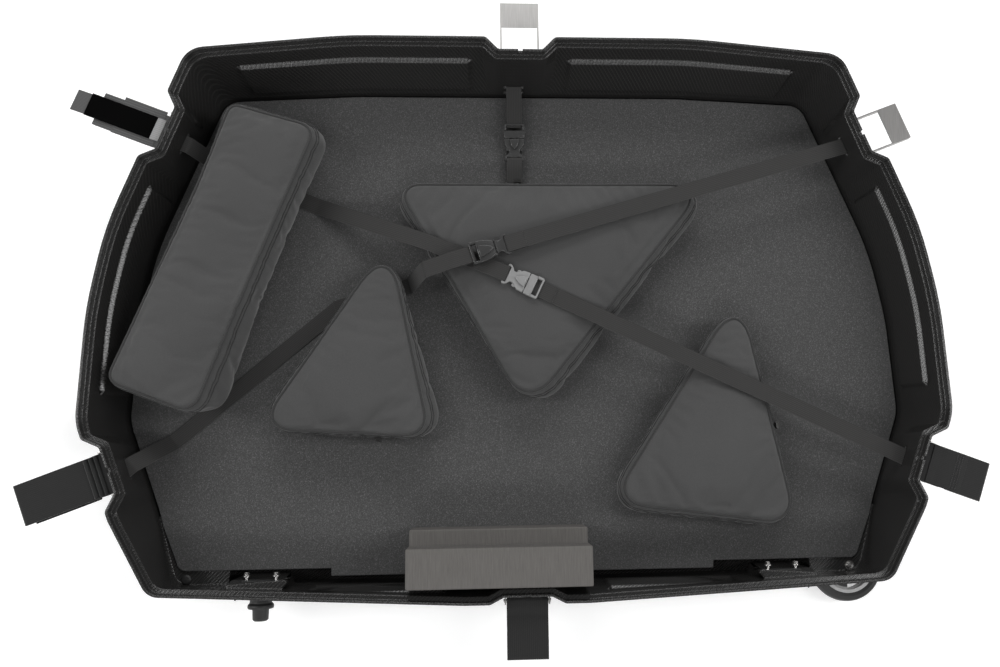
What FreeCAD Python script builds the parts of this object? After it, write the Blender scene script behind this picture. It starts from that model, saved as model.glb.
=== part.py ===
# Bike travel case, the open packing half: a thermoformed shell on its back with its rim up,
# a foam floor, four packing bags, cross straps with plug buckles, six rim closures, a wheel and a foot.
# Frame: millimetres, +X to the right, +Y towards the carrying side, +Z up, origin on the resting face.
import FreeCAD, Part
import math
import os
import Sketcher

V = FreeCAD.Vector
UP = V(0, 0, 1)
doc = FreeCAD.newDocument("bike_case")
sheet = doc.addObject("Spreadsheet::Sheet", "sheet")
cells = []


def size(alias, number):
    """Write one driving dimension into the sheet."""
    cells.append(alias)
    sheet.set("A%d" % len(cells), alias)
    sheet.set("B%d" % len(cells), str(number))
    sheet.setAlias("B%d" % len(cells), alias)


# Shell: plan corners of the rim on the right half, and how far each stands inside it at the foam.
size("rim_z", 150)
size("wall", 3.5)
size("lip_height", 16)
size("lip_step", 7)
size("foam_z", 40)
size("floor_round", 24)
size("panel_depth", 5)
size("top_mid_x", 265)
size("top_mid_y", 425.5)
size("top_mid_in", 44)
size("top_corner_x", 504)
size("top_corner_y", 402)
size("top_corner_in", 34)
size("shoulder_x", 611)
size("shoulder_y", 125)
size("shoulder_in", 29)
size("side_x", 633)
size("side_y", 5)
size("side_in", 28)
size("hip_x", 640)
size("hip_y", -160)
size("hip_in", 26)
size("knee_x", 588)
size("knee_y", -300)
size("knee_in", 25)
size("low_corner_x", 530)
size("low_corner_y", -404.5)
size("low_corner_in", -2)
size("low_mid_x", 90)
size("low_mid_y", -426)
size("low_mid_in", 15)
# Notches for the closures, pockets for the feet, reliefs for the wheel.
size("notch_mouth", 108)
size("notch_width", 69)
size("notch_depth", 20)
size("slot_z", 100)
size("nick", 7)
size("pocket_x", 391)
size("pocket_y", 388)
size("pocket_width", 78)
size("pocket_top", 107)
size("relief_top", 36)
size("relief_x", 450)
size("relief_y", 300)
# Clearances.
size("seat_gap", 0.3)
size("run_gap", 0.5)
size("foam_gap", 2)
# Soft goods.
size("webbing", 25)
size("webbing_thick", 1.6)
size("closure_webbing", 60)
size("long_bag_top", 140)
size("frame_bag_top", 105)
size("rear_bag_top", 108)
size("fork_bag_top", 98)
size("block_length", 266)
size("block_top", 160)
size("block_slot", 14)
# Buckles.
size("buckle_width", 34)
size("buckle_height", 11)
size("socket_length", 38)
size("plug_length", 23)
size("prong", 22)
# Closures.
size("pin_reach", 15)
size("pin_radius", 2.6)
size("pin_z", 121)
size("bracket_width", 66)
size("bracket_height", 24)
size("sheet_steel", 2)
size("bail_length", 75)
size("bail_plate", 32)
size("long_bail", 84)
size("long_bail_plate", 40)
size("bail_leg", 7)
# Wheel, foot and fasteners.
size("wheel_x", 514)
size("wheel_y", -395)
size("wheel_radius", 58)
size("wheel_width", 22)
size("tyre_thick", 14)
size("axle_radius", 3.9)
size("foot_reach", 59)
size("bolt_pitch", 43)
doc.recompute()


def val(alias):
    return float(sheet.get(alias))


wall = val("wall")
gap = val("seat_gap")
run = val("run_gap")


# Plan geometry

def unit(v):
    return v * (1.0 / v.Length)


def inset(points, amount):
    """Move each corner of a clockwise outline inwards by its own or one shared amount."""
    result = []
    count = len(points)
    for i, (p, radius) in enumerate(points):
        before = unit(p - points[i - 1][0])
        after = unit(points[(i + 1) % count][0] - p)
        n1 = V(before.y, -before.x, 0)
        n2 = V(after.y, -after.x, 0)
        depth = amount[i] if isinstance(amount, list) else amount
        turn = before.x * after.y - before.y * after.x
        rounder = radius
        if radius:
            rounder = max(2.0, radius + (depth if turn > 0 else -depth))
        result.append((p + (n1 + n2) * (depth / (1 + n1.dot(n2))), rounder))
    return result


def outline(points, z):
    """A closed wire of lines and tangent arcs through rounded corners."""
    edges = []
    ends = []
    count = len(points)
    for i, (p, radius) in enumerate(points):
        if not radius:
            ends.append((p, None, p))
            continue
        d1 = unit(p - points[i - 1][0])
        d2 = unit(points[(i + 1) % count][0] - p)
        half = d1.getAngle(d2) / 2
        reach = radius * math.tan(half)
        side = unit(d2 - d1)
        middle = p + side * (radius / math.cos(half) - radius)
        ends.append((p - d1 * reach, middle, p + d2 * reach))
    lift = V(0, 0, z)
    for i in range(count):
        start, middle, end = ends[i]
        if middle:
            edges.append(Part.Arc(start + lift, middle + lift, end + lift).toShape())
        following = ends[(i + 1) % count][0]
        edges.append(Part.makeLine(end + lift, following + lift))
    return Part.Wire(edges)


def prism(points, z0, z1):
    return Part.Face(outline(points, z0)).extrude(V(0, 0, z1 - z0))


def mirrored(points):
    """The right half of a clockwise outline with its left half added."""
    return points + [(V(-p.x, p.y, 0), r) for p, r in reversed(points)]


def mirror_x(shape):
    return shape.mirror(V(0, 0, 0), V(1, 0, 0))


def feature(label, shape):
    """A document object that carries a shape made with Part's own functions."""
    item = doc.addObject("Part::Feature", label)
    item.Label = label
    item.Shape = shape
    return item


nodes = []


def node(item, label):
    item.Label = label
    nodes.append(item)
    return item


# Rim outline and the outline level with the foam, with notches and wall panels

def key(name):
    return V(val(name + "_x"), val(name + "_y"), 0)


names = ["top_mid", "top_corner", "shoulder", "side", "hip", "knee", "low_corner", "low_mid"]
rounds = [800, 38, 500, 600, 80, 60, 28, 300]
keys = [key(name) for name in names]
ring = mirrored([(p, 0) for p in keys])
depths = [val(name + "_in") for name in names]
foot_ring = inset(ring, depths + depths[::-1])
base = [p for p, r in foot_ring[:len(keys)]]


def across(p):
    return V(-p.x, p.y, 0)


notches = []
rim_half = []
mid_half = []
bulge = []


def corner(rim_point, mid_point, radius, swell=0):
    rim_half.append((rim_point, radius))
    mid_half.append((mid_point, radius))
    bulge.append(swell)


def on_edge(a, b, am, bm, distance):
    """A point so far along a rim edge, with its partner at the foam."""
    along = distance / (b - a).Length
    return a + (b - a) * along, am + (bm - am) * along


def notch(a, b, am, bm, middle, first=True, last=True, share=1):
    """One closure notch whose centre lies so far along the edge from a to b."""
    way = unit(b - a)
    inward = V(way.y, -way.x, 0)
    mouth = val("notch_mouth") / 2
    half = val("notch_width") / 2
    depth = val("notch_depth") * share
    centre, centre_mid = on_edge(a, b, am, bm, middle)
    way_mid = unit(bm - am)
    inward_mid = V(way_mid.y, -way_mid.x, 0)
    if first:
        corner(*on_edge(a, b, am, bm, middle - mouth), 9)
        corner(centre - way * half + inward * depth, centre_mid - way_mid * half + inward_mid, 7)
    if last:
        corner(centre + way * half + inward * depth, centre_mid + way_mid * half + inward_mid, 7)
        corner(*on_edge(a, b, am, bm, middle + mouth), 9)
    upper = centre + inward * (depth + val("lip_step"))
    lower = centre_mid + inward_mid
    notches.append((upper, lower, V(-inward.x, -inward.y, 0)))


def panel(a, b, am, bm, distance, opening):
    """The pair of corners where an embossed wall panel begins or ends."""
    ramp = 6
    near = on_edge(a, b, am, bm, distance)
    far = on_edge(a, b, am, bm, distance + ramp)
    corner(*near, 0, 0 if opening else 1)
    corner(*far, 0, 1 if opening else 0)


def pair(i, j):
    return keys[i], keys[j], base[i], base[j]


top_edge = (across(keys[0]), keys[0], across(base[0]), base[0])
notch(*top_edge, keys[0].x, first=False)
panel(*top_edge, keys[0].x + 76, True)
corner(keys[0], base[0], rounds[0], 1)
panel(*pair(0, 1), 176, False)
corner(keys[1], base[1], rounds[1])
notch(*pair(1, 2), 127)
panel(*pair(1, 2), 208, True)
for i in (2, 3, 4):
    if i == 4:
        panel(*pair(3, 4), 118, False)
    corner(keys[i], base[i], rounds[i], 1 if i < 4 else 0)
notch(*pair(4, 5), 81)
corner(keys[5], base[5], rounds[5])
corner(keys[6], base[6], rounds[6])
panel(*pair(6, 7), 212, True)
panel(*pair(6, 7), 406, False)
corner(keys[7], base[7], rounds[7])
low_edge = (keys[7], across(keys[7]), base[7], across(base[7]))
notch(*low_edge, keys[7].x, last=False, share=0.5)
top_notch, upper_notch, lower_notch, low_notch = notches
rim = mirrored(rim_half)
mid = mirrored(mid_half)
swell = bulge + bulge[::-1]


def between(share):
    """The wall outline part of the way up from the foam to the underside of the lip."""
    upper = inset(rim, val("lip_step"))
    return [(a + (b - a) * share, r) for (a, r), (b, q) in zip(mid, upper)]


lip_z = val("rim_z") - val("lip_height")
foam_z = val("foam_z")
round_r = val("floor_round")


def skin(depth, floor_z, step_rise, top_z):
    """A solid of the case's outside, or of its hollow when depth is the wall thickness."""
    wires = []
    for rise in (0, 0.16, 0.45, 1):
        tuck = round_r * (1 - math.sqrt(1 - (1 - rise) ** 2))
        wires.append(outline(inset(mid, depth + tuck), floor_z + rise * (round_r - depth)))
    wires.append(outline(inset(mid, depth), foam_z))
    for z, out in ((foam_z + 14, 0), (foam_z + 18, 1), (lip_z - 24, 1), (lip_z - 20, 0), (lip_z, 0)):
        share = (z - foam_z) / (lip_z - foam_z)
        moved = [depth - out * k * val("panel_depth") for k in swell]
        wires.append(outline(inset(between(share), moved), z + (step_rise if z == lip_z else 0)))
    wires.append(outline(inset(rim, depth), lip_z + 4 + step_rise))
    wires.append(outline(inset(rim, depth), top_z))
    return Part.makeLoft(wires, True, True)


outside = skin(0, 0, 0, val("rim_z"))
hollow = skin(wall, wall, wall, val("rim_z") + 1)

tray = outside.cut(hollow)


# Wheel reliefs and foot pockets: the sheet is pressed inwards, so each cuts the wall and adds its own skin

def relief(grow):
    x0 = val("relief_x") + grow
    y0 = -val("relief_y") - grow
    far = 700
    points = [(V(x0, y0, 0), 26 - grow), (V(far, y0, 0), 0), (V(far, -far, 0), 0), (V(x0, -far, 0), 0)]
    return prism(points, -1, val("relief_top") - grow)


def pocket(grow):
    x0 = val("pocket_x")
    half = val("pocket_width") / 2 - grow
    y0 = -val("pocket_y") - grow
    taper = 6
    points = [(V(x0 - half + taper, y0, 0), 3), (V(x0 + half - taper, y0, 0), 3)]
    points += [(V(x0 + half + taper, y0 - 60, 0), 0), (V(x0 - half - taper, y0 - 60, 0), 0)]
    return prism(points, foam_z - 20 + grow, val("pocket_top") - grow)


holes = []
added = []
for press in (relief, pocket):
    skin_part = press(0).cut(press(wall)).common(outside)
    holes += [press(wall), mirror_x(press(wall))]
    added += [skin_part, mirror_x(skin_part)]
tray = tray.cut(holes).fuse(added)


# Closure frames: X along the notch wall, Y outwards, Z up the wall

def wall_frame(spot, left=False):
    upper, lower, out = spot
    if left:
        upper, lower, out = across(upper), across(lower), across(out)
    lean = (upper - lower).dot(out)
    rise = unit(out * lean + UP * (lip_z - foam_z))
    share = (val("pin_z") - foam_z) / (lip_z - foam_z)
    foot = lower + (upper - lower) * share + UP * val("pin_z")
    side = unit(out.cross(UP))
    return foot, side, unit(rise.cross(side)), rise, out


def placed(origin, x_axis, y_axis, z_axis):
    m = FreeCAD.Matrix(x_axis.x, y_axis.x, z_axis.x, origin.x, x_axis.y, y_axis.y, z_axis.y, origin.y,
                       x_axis.z, y_axis.z, z_axis.z, origin.z, 0, 0, 0, 1)
    return FreeCAD.Placement(m)


spots = {"top": wall_frame(top_notch), "upper_right": wall_frame(upper_notch),
         "lower_right": wall_frame(lower_notch), "bottom": wall_frame(low_notch),
         "lower_left": wall_frame(lower_notch, True), "upper_left": wall_frame(upper_notch, True)}


def slot_point(name, z):
    """The middle of a strap slot on the inner face of a notch wall."""
    foot, side, out_wall, rise, out = spots[name]
    drop = (z - foot.z) / rise.z
    return foot + rise * drop - out * wall


def box_at(frame, length, depth, height, dx=0, dy=0, dz=0):
    """A box centred on a frame's X and Z that stands dy along its Y."""
    solid = Part.makeBox(length, depth, height, V(dx - length / 2, dy, dz - height / 2))
    solid.Placement = frame
    return solid


def level_frame(name, z):
    foot, side, out_wall, rise, out = spots[name]
    return placed(slot_point(name, z), side, out, UP)


slot_z = val("slot_z")
slot_w = val("webbing") + 8
slot_h = val("webbing_thick") + 3.4
top_slot_z = slot_z - 36
low_slot_z = top_slot_z - 14
top_strap_x = -8
drills = []
for name in ("upper_right", "lower_right", "lower_left", "upper_left"):
    drills.append(box_at(level_frame(name, slot_z), slot_w, 14, slot_h, 0, -6))
for z in (top_slot_z, low_slot_z):
    drills.append(box_at(level_frame("top", z), slot_w, 14, slot_h, top_strap_x, -6))
for name in spots:
    drills.append(box_at(level_frame(name, val("rim_z")), val("nick"), 40, 12, 0, -12))
axle_x, axle_y = val("wheel_x"), val("wheel_y")
bolt_z = (foam_z + val("pocket_top")) / 2 + 6
for sign in (1, -1):
    drills.append(Part.makeCylinder(val("axle_radius") + run, 40, V(sign * axle_x, axle_y, 10)))
    for step in (-0.5, 0.5):
        x = sign * val("pocket_x") + step * val("bolt_pitch")
        drills.append(Part.makeCylinder(2.6, 30, V(x, -val("pocket_y") - 15, bolt_z), V(0, 1, 0)))
tray = tray.cut(drills).removeSplitter()
node(feature("shell", tray), "shell")


# Foam floor sheet, cut back at the pockets and hollowed underneath over the wheel reliefs

pad_ring = [(p, r) for (p, q), r in zip(foot_ring, rounds + rounds[::-1])]
pad_wires = []
for rise in (0, 0.16, 0.45, 1):
    tuck = round_r * (1 - math.sqrt(1 - (1 - rise) ** 2))
    shape = inset(pad_ring, wall + val("foam_gap") + 1.5 + tuck)
    pad_wires.append(outline(shape, wall + gap + rise * (round_r - wall)))
pad_wires.append(outline(inset(pad_ring, wall + val("foam_gap") + 1.5), foam_z))
pad_solid = Part.makeLoft(pad_wires, True, True)
pad_edge = val("pocket_y") + 6
pad_cuts = [Part.makeBox(1400, 80, 60, V(-700, -pad_edge - 80, -5))]
pad_step = pad_edge - 11.5
for sign in (1, -1):
    edge = [(V(296, -pad_step, 0), 0), (V(524, -pad_step, 0), 14), (V(573, -258, 0), 0), (V(720, -258, 0), 0)]
    block = prism(edge + [(V(720, -480, 0), 0), (V(296, -480, 0), 0)], -5, 55)
    pad_cuts.append(block if sign > 0 else mirror_x(block))
    pad_cuts.append(relief(-1) if sign > 0 else mirror_x(relief(-1)))
    pad_cuts.append(Part.makeCylinder(11, 60, V(sign * axle_x, axle_y, 20)))
node(feature("floor_pad", pad_solid.cut(pad_cuts).removeSplitter()), "floor_pad")


# Sketch based bodies

XZ = FreeCAD.Rotation(V(1, 0, 0), 90)
YZ = FreeCAD.Rotation(V(0, 1, 0), V(0, 0, 1), V(1, 0, 0), "ZXY")
FLAT = FreeCAD.Rotation()


def body(label, frame=None):
    item = doc.addObject("PartDesign::Body", label)
    if frame:
        item.Placement = frame
    return node(item, label)


def sketch(owner, at, turn):
    item = owner.newObject("Sketcher::SketchObject", owner.Name + "_sketch")
    item.Placement = FreeCAD.Placement(at, turn)
    return item


def bound(item, kind, first, last, cell, name):
    index = item.addConstraint(Sketcher.Constraint(kind, *first, *last, 1.0))
    item.renameConstraint(index, name)
    item.setExpression("Constraints." + name, cell)


def rectangle(owner, across_x, across_y, at=V(0, 0, 0), turn=FLAT):
    """A centred rectangle whose sides follow two expressions."""
    item = sketch(owner, at, turn)
    corners = [V(-9, -9, 0), V(9, -9, 0), V(9, 9, 0), V(-9, 9, 0)]
    for i in range(4):
        item.addGeometry(Part.LineSegment(corners[i], corners[(i + 1) % 4]))
    for i in range(4):
        item.addConstraint(Sketcher.Constraint("Coincident", i, 2, (i + 1) % 4, 1))
        item.addConstraint(Sketcher.Constraint("Vertical" if i % 2 else "Horizontal", i))
    item.addConstraint(Sketcher.Constraint("Symmetric", 0, 1, 1, 2, -1, 1))
    bound(item, "DistanceX", (0, 1), (0, 2), across_x, "wide")
    bound(item, "DistanceY", (1, 1), (1, 2), across_y, "high")
    return item


def circle(owner, radius, at=V(0, 0, 0), turn=FLAT):
    item = sketch(owner, at, turn)
    item.addGeometry(Part.Circle(V(0, 0, 0), UP, 5))
    item.addConstraint(Sketcher.Constraint("Coincident", 0, 3, -1, 1))
    index = item.addConstraint(Sketcher.Constraint("Radius", 0, 5.0))
    item.renameConstraint(index, "round")
    item.setExpression("Constraints.round", radius)
    return item


def polygon(owner, points, at=V(0, 0, 0), turn=FLAT):
    """A closed profile through points worked out from the sheet."""
    item = sketch(owner, at, turn)
    count = len(points)
    for i in range(count):
        item.addGeometry(Part.LineSegment(V(*points[i], 0), V(*points[(i + 1) % count], 0)))
    for i in range(count):
        item.addConstraint(Sketcher.Constraint("Coincident", i, 2, (i + 1) % count, 1))
    return item


def grow(owner, kind, profile, length, both=False, back=False):
    """Add a pad or a pocket of a profile to its body."""
    item = owner.newObject("PartDesign::" + kind, owner.Name + "_" + kind.lower())
    item.Profile = profile
    item.setExpression("Length", length)
    item.Midplane = both
    item.Reversed = back
    profile.Visibility = False
    return item


def spin(owner, profile):
    item = owner.newObject("PartDesign::Revolution", owner.Name + "_turned")
    item.Profile = profile
    item.ReferenceAxis = (profile, ["V_Axis"])
    item.Angle = 360
    return item


# Slotted foam block that grips the chainring

slot_low = 98
block = body("chainring_block", FreeCAD.Placement(V(-40, 0, 0), FreeCAD.Rotation()))
slot_top = slot_low + val("block_slot")
back_y = -402
profile = [(back_y, foam_z + gap), (-323, foam_z + gap), (-323, slot_low), (-383, slot_low), (-383, slot_top),
           (-345, slot_top), (-345, val("block_top")), (back_y, val("block_top"))]
grow(block, "Pad", polygon(block, profile, V(0, 0, 0), FreeCAD.Rotation(UP, 90) * XZ), "sheet.block_length", True)


# Webbing: a ribbon profile in a vertical plane, padded to the strap's width

def ribbon(path, thick):
    """The closed profile of a band that follows a path."""
    points = [V(x, z, 0) for x, z in path]
    sides = ([], [])
    last = len(points) - 1
    for i, p in enumerate(points):
        before = unit(p - points[i - 1]) if i else unit(points[1] - p)
        after = unit(points[i + 1] - p) if i < last else before
        n1 = V(-before.y, before.x, 0)
        n2 = V(-after.y, after.x, 0)
        step = (n1 + n2) * (thick / 2 / (1 + n1.dot(n2)))
        sides[0].append((p.x + step.x, p.y + step.y))
        sides[1].append((p.x - step.x, p.y - step.y))
    return sides[0] + sides[1][::-1]


def band(label, frame, path, thick, wide):
    """A webbing body: X along the band, Z up, padded about its middle."""
    item = body(label, frame)
    grow(item, "Pad", polygon(item, ribbon(path, thick), V(0, 0, 0), XZ), wide, True)
    return item


def upright(origin, along):
    """A frame with X along a horizontal way and Z up."""
    way = unit(V(along.x, along.y, 0))
    return placed(origin, way, UP.cross(way), UP)


def tilted(origin, along):
    """A frame with X along a way that may slope."""
    way = unit(along)
    side = unit(UP.cross(way))
    return placed(origin, way, side, way.cross(side))


thick = val("webbing_thick")
loop = 4.5
socket_back = 32
frame_top = val("frame_bag_top")
slots = {name: slot_point(name, slot_z) for name in spots}
centre_a = V(-48, 96, frame_top + 21)
centre_b = V(0, 48, frame_top + 8.5)
centre_t = V(top_strap_x, 292, foam_z + 12)
ends = {"a": slots["upper_right"], "b": slots["lower_right"], "top": slot_point("top", top_slot_z)}
frames = {}
for name, centre in (("a", centre_a), ("b", centre_b), ("top", centre_t)):
    way = ends[name] - (centre + UP * loop)
    if name == "top":
        way.x = 0
    frames[name] = tilted(centre, way)


def hairpin(inner, outer, far):
    """The path round a buckle bar, from the short sewn tail to the running layer."""
    return [(far, -loop), (outer, -loop), (inner, -2.7), (inner, 2.7), (outer, loop)]


for name in ("a", "b", "top"):
    frame = frames[name]
    reach = (ends[name] - frame.Base).Length
    stop = reach + wall + 3
    path = hairpin(23.4, 27, min(58, reach / 2.3)) + [(stop + 7, loop)]
    strap = band("strap_%s_plug" % name, frame, path, thick, "sheet.webbing")
    grow(strap, "Pad", rectangle(strap, "sheet.webbing", "6", V(stop, 0, loop), YZ), "7")


def socket(name, frame):
    """Receiving half of a plug buckle: a flat box open at its mouth and sides, with a webbing bar."""
    item = body("buckle_%s_socket" % name, frame)
    middle = 6 - val("socket_length") / 2
    base_plan = rectangle(item, "sheet.socket_length", "sheet.buckle_width", V(middle, 0, 0))
    grow(item, "Pad", base_plan, "sheet.buckle_height", True)
    grow(item, "Pocket", rectangle(item, "28", "sheet.buckle_width - 7.2", V(-6, 0, 0)), "6.8", True)
    grow(item, "Pocket", rectangle(item, "12", "sheet.buckle_width + 2", V(-9, 0, 0)), "6.8", True)
    grow(item, "Pocket", rectangle(item, "5", "sheet.webbing + 1.4", V(-26.5, 0, 0)), "40", True)
    for sign in (1, -1):
        shelf = rectangle(item, "12.5", "sheet.buckle_width + 2", V(-socket_back + 5.5, 0, sign * 4.6))
        grow(item, "Pocket", shelf, "3.2", True)


def plug(name, frame):
    """Entering half: a base with a webbing bar, two sprung arms drawn at released width, a guide."""
    item = body("buckle_%s_plug" % name, frame)
    middle = 7 + val("plug_length") / 2
    grow(item, "Pad", rectangle(item, "sheet.plug_length", "sheet.buckle_width", V(middle, 0, 0)), "6", True)
    for sign in (1, -1):
        arm = V(8 - val("prong") / 2, sign * 10.6, 0)
        grow(item, "Pad", rectangle(item, "sheet.prong", "4.4", arm), "5.6", True)
    grow(item, "Pad", rectangle(item, "sheet.prong - 5", "5", V(5.5 - val("prong") / 2 + 5, 0, 0)), "4.6", True)
    grow(item, "Pad", rectangle(item, "9", "sheet.buckle_width", V(11.5, 0, 0)), "9", True)
    grow(item, "Pocket", rectangle(item, "7", "sheet.webbing + 1.4", V(23.5, 0, 0)), "40", True)


for name in ("a", "b", "top"):
    socket(name, frames[name])
    plug(name, frames[name])


def bar_of(name):
    """The middle of a socket's webbing bar, where the fixed strap is looped."""
    return frames[name].multVec(V(-26.5, 0, 0))


# Fixed strap halves: from a wall slot, down to the foam under a bag, up to the socket's bar

low_z = foam_z + gap + thick / 2


def under(start, spot, pass_to, crest):
    """The height path of a strap that dives under a bag and climbs to a buckle bar."""
    length = V(spot.x - start.x, spot.y - start.y, 0).Length
    over = spot.z
    wrap = length + 0.9
    return [(-18, slot_z), (8, slot_z), (42, low_z), (pass_to, low_z), (length - crest, over - 4),
            (length - 34, over + loop), (length - 3.2, over + loop), (wrap, over + 2.8), (wrap, over - 2.8),
            (length - 3.2, over - loop), (length - 24, over - loop)]


def stop_block(item, z):
    grow(item, "Pad", rectangle(item, "sheet.webbing", "6", V(-18, 0, z), YZ), "7")


start_b = V(slots["upper_left"].x, slots["upper_left"].y, 0)
bar_b = bar_of("b")
way_b = bar_b - start_b
path_b = under(start_b, bar_b, 212, 136)
strap_b = band("strap_b_socket", upright(start_b, way_b), path_b, thick, "sheet.webbing")
stop_block(strap_b, slot_z)

start_a = V(slots["lower_left"].x, slots["lower_left"].y, 0)
bar_a = bar_of("a")
way_a = unit(V(bar_a.x - centre_a.x, bar_a.y - centre_a.y, 0)) * -1
turn_a = V(bar_a.x, bar_a.y, 0) - way_a * 227
first = V(turn_a.x - start_a.x, turn_a.y - start_a.y, 0).Length
lead = band("strap_a_lead", upright(start_a, turn_a - start_a),
            [(-18, slot_z), (8, slot_z), (60, low_z), (first, low_z)], thick, "sheet.webbing")
stop_block(lead, slot_z)
rest = under(turn_a, bar_a, 118, 78)[3:]
tail = band("strap_a_tail", upright(turn_a, bar_a - turn_a), [(0, low_z)] + rest, thick, "sheet.webbing")
bend = doc.addObject("Part::Cylinder", "strap_a_bend")
bend.setExpression("Radius", "sheet.webbing / 2")
bend.setExpression("Height", "sheet.webbing_thick")
bend.Placement.Base = V(turn_a.x, turn_a.y, low_z - thick / 2)
for item in (lead, tail):
    nodes.remove(item)
strap_a = doc.addObject("Part::MultiFuse", "strap_a_socket")
strap_a.Shapes = [lead, bend, tail]
node(strap_a, "strap_a_socket")

bar_t = bar_of("top")
wall_t = slot_point("top", low_slot_z)
fold_y = 222
wrap_t = bar_t.y + 0.9
path = [(bar_t.y - 24, bar_t.z - loop), (bar_t.y - 3.2, bar_t.z - loop), (wrap_t, bar_t.z - 2.8),
        (wrap_t, bar_t.z + 2.8), (bar_t.y - 3.2, bar_t.z + loop), (fold_y + 5, low_z + 7.5),
        (fold_y + 1, low_z + 5.6), (fold_y, low_z + 3.2), (fold_y + 1.5, low_z + 0.8), (fold_y + 5, low_z),
        (wall_t.y - 40, low_z), (wall_t.y - 8, low_slot_z), (wall_t.y + wall + 10, low_slot_z)]
strap_t = band("strap_top_socket", upright(V(centre_t.x, 0, 0), V(0, 1, 0)), path, thick, "sheet.webbing")
stop = rectangle(strap_t, "sheet.webbing", "6", V(wall_t.y + wall + 3, 0, low_slot_z), YZ)
grow(strap_t, "Pad", stop, "7")


# Packing bags: rounded outlines drawn in towards top and bottom, with a channel over a strap

def bag(label, corners, radius, top, channel=None):
    ring_points = [(V(x, y, 0), radius) for x, y in corners]
    low = foam_z + gap
    wires = []
    for z, tuck in ((low, 14), (low + 4, 6), (low + 12, 1.5), (top - 22, 0), (top - 9, 4), (top - 3, 10), (top, 20)):
        wires.append(outline(inset(ring_points, tuck), z))
    solid = Part.makeLoft(wires, True, True)
    if channel:
        start, along, length = channel
        wide = val("webbing") + 5
        groove = Part.makeBox(length, wide, thick + gap + 1.6, V(0, -wide / 2, foam_z - 1))
        groove.Placement = upright(start, along)
        solid = solid.cut(groove)
    return node(feature(label, solid), label)


long_corners = [(-455, 330), (-322, 298), (-468, -130), (-602, -98)]
rear_corners = [(-208, 119), (-135, -190), (-409, -172)]
frame_corners = [(-207, 214), (306, 214), (12, -155)]
fork_corners = [(352, 39), (425, -334), (122, -292)]
bag("long_bag", long_corners, 26, val("long_bag_top"), (start_b, way_b, 260))
bag("rear_bag", rear_corners, 30, val("rear_bag_top"), (turn_a - way_a * 30, way_a, 170))
bag("frame_bag", frame_corners, 34, frame_top)
bag("fork_bag", fork_corners, 30, val("fork_bag_top"))


# Zip sliders, each against the side of its bag

def zip_slider(label, corners, edge, along, top):
    a = V(*corners[edge], 0)
    b = V(*corners[(edge + 1) % len(corners)], 0)
    way = unit(b - a)
    out = V(-way.y, way.x, 0)
    spot = a + way * along + out * run + UP * (top - 24)
    frame = placed(spot, way, out, UP)
    item = body(label, frame)
    grow(item, "Pad", rectangle(item, "11", "7", V(0, 4, 0), XZ), "4")
    grow(item, "Pad", rectangle(item, "5", "4", V(0, 5.5, 0), XZ), "1.5")
    grow(item, "Pad", rectangle(item, "6", "24", V(0, 6.9, -12), XZ), "1.4")


zip_slider("frame_bag_slider", frame_corners, 0, 202, frame_top)
zip_slider("rear_bag_slider", rear_corners, 1, 86, val("rear_bag_top"))
zip_slider("fork_bag_slider", fork_corners, 0, 218, val("fork_bag_top"))


# Rim closures: a riveted bracket with two ears and a pin, then a bail or a folded strap on the pin

rivets = []
pins = {}
for name, (foot, side, out_wall, rise, out) in spots.items():
    frame = placed(foot + out_wall * gap, side, out_wall, rise)
    item = body("bracket_" + name, frame)
    plate = rectangle(item, "sheet.bracket_width", "sheet.bracket_height", V(0, 0, -1.5), XZ)
    grow(item, "Pad", plate, "sheet.sheet_steel", False, True)
    for sign in (1, -1):
        ear = V(sign * (val("bracket_width") - val("sheet_steel")) / 2, 0, 0)
        grow(item, "Pad", rectangle(item, "sheet.sheet_steel", "12", ear, XZ), "sheet.pin_reach + 5", False, True)
    hole = circle(item, "sheet.pin_radius + 0.1", V(0, val("pin_reach"), 0), YZ)
    grow(item, "Pocket", hole, "sheet.bracket_width + 20", True)
    pin_spot = frame.multVec(V(0, val("pin_reach"), 0))
    pins[name] = placed(pin_spot, side, out, UP)
    pin = doc.addObject("Part::Cylinder", "pin_" + name)
    pin.setExpression("Radius", "sheet.pin_radius")
    pin.setExpression("Height", "sheet.bracket_width + 3")
    turn = FreeCAD.Rotation(UP, side)
    pin.Placement = FreeCAD.Placement(pin_spot - side * (val("bracket_width") / 2 + 1.5), turn)
    node(pin, "pin_" + name)
    for dx in (-24, 24):
        for dz in (-9, 6):
            head = Part.makeCone(3.2, 2.1, 1.5, V(0, 0, 0), V(0, 1, 0))
            spot = frame.multVec(V(dx, val("sheet_steel") + 0.05, dz))
            head.Placement = placed(spot, side, out_wall, rise)
            rivets.append(head)
node(feature("bracket_rivets", Part.makeCompound(rivets)), "bracket_rivets")

bail_half = val("bracket_width") / 2 - val("sheet_steel") - 0.8
for name, length, plate in (("top", "long_bail", "long_bail_plate"), ("upper_right", "bail_length", "bail_plate")):
    item = body("bail_" + name, pins[name])
    for sign in (1, -1):
        leg = V(sign * (bail_half - val("sheet_steel") / 2), val(length) / 2 - 3, 0)
        plan = rectangle(item, "sheet.sheet_steel", "sheet.%s + 6" % length, leg)
        grow(item, "Pad", plan, "sheet.bail_leg + 3", True)
    top_plan = rectangle(item, "sheet.bracket_width - 2 * sheet.sheet_steel - 1.6", "sheet." + plate,
                         V(0, val(length) - val(plate) / 2, (val("bail_leg") + 3) / 2))
    grow(item, "Pad", top_plan, "sheet.sheet_steel", False, True)
    eye = circle(item, "sheet.pin_radius + sheet.run_gap", V(0, 0, 0), YZ)
    grow(item, "Pocket", eye, "sheet.bracket_width + 20", True)

eye_r = val("pin_radius") + run


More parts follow.
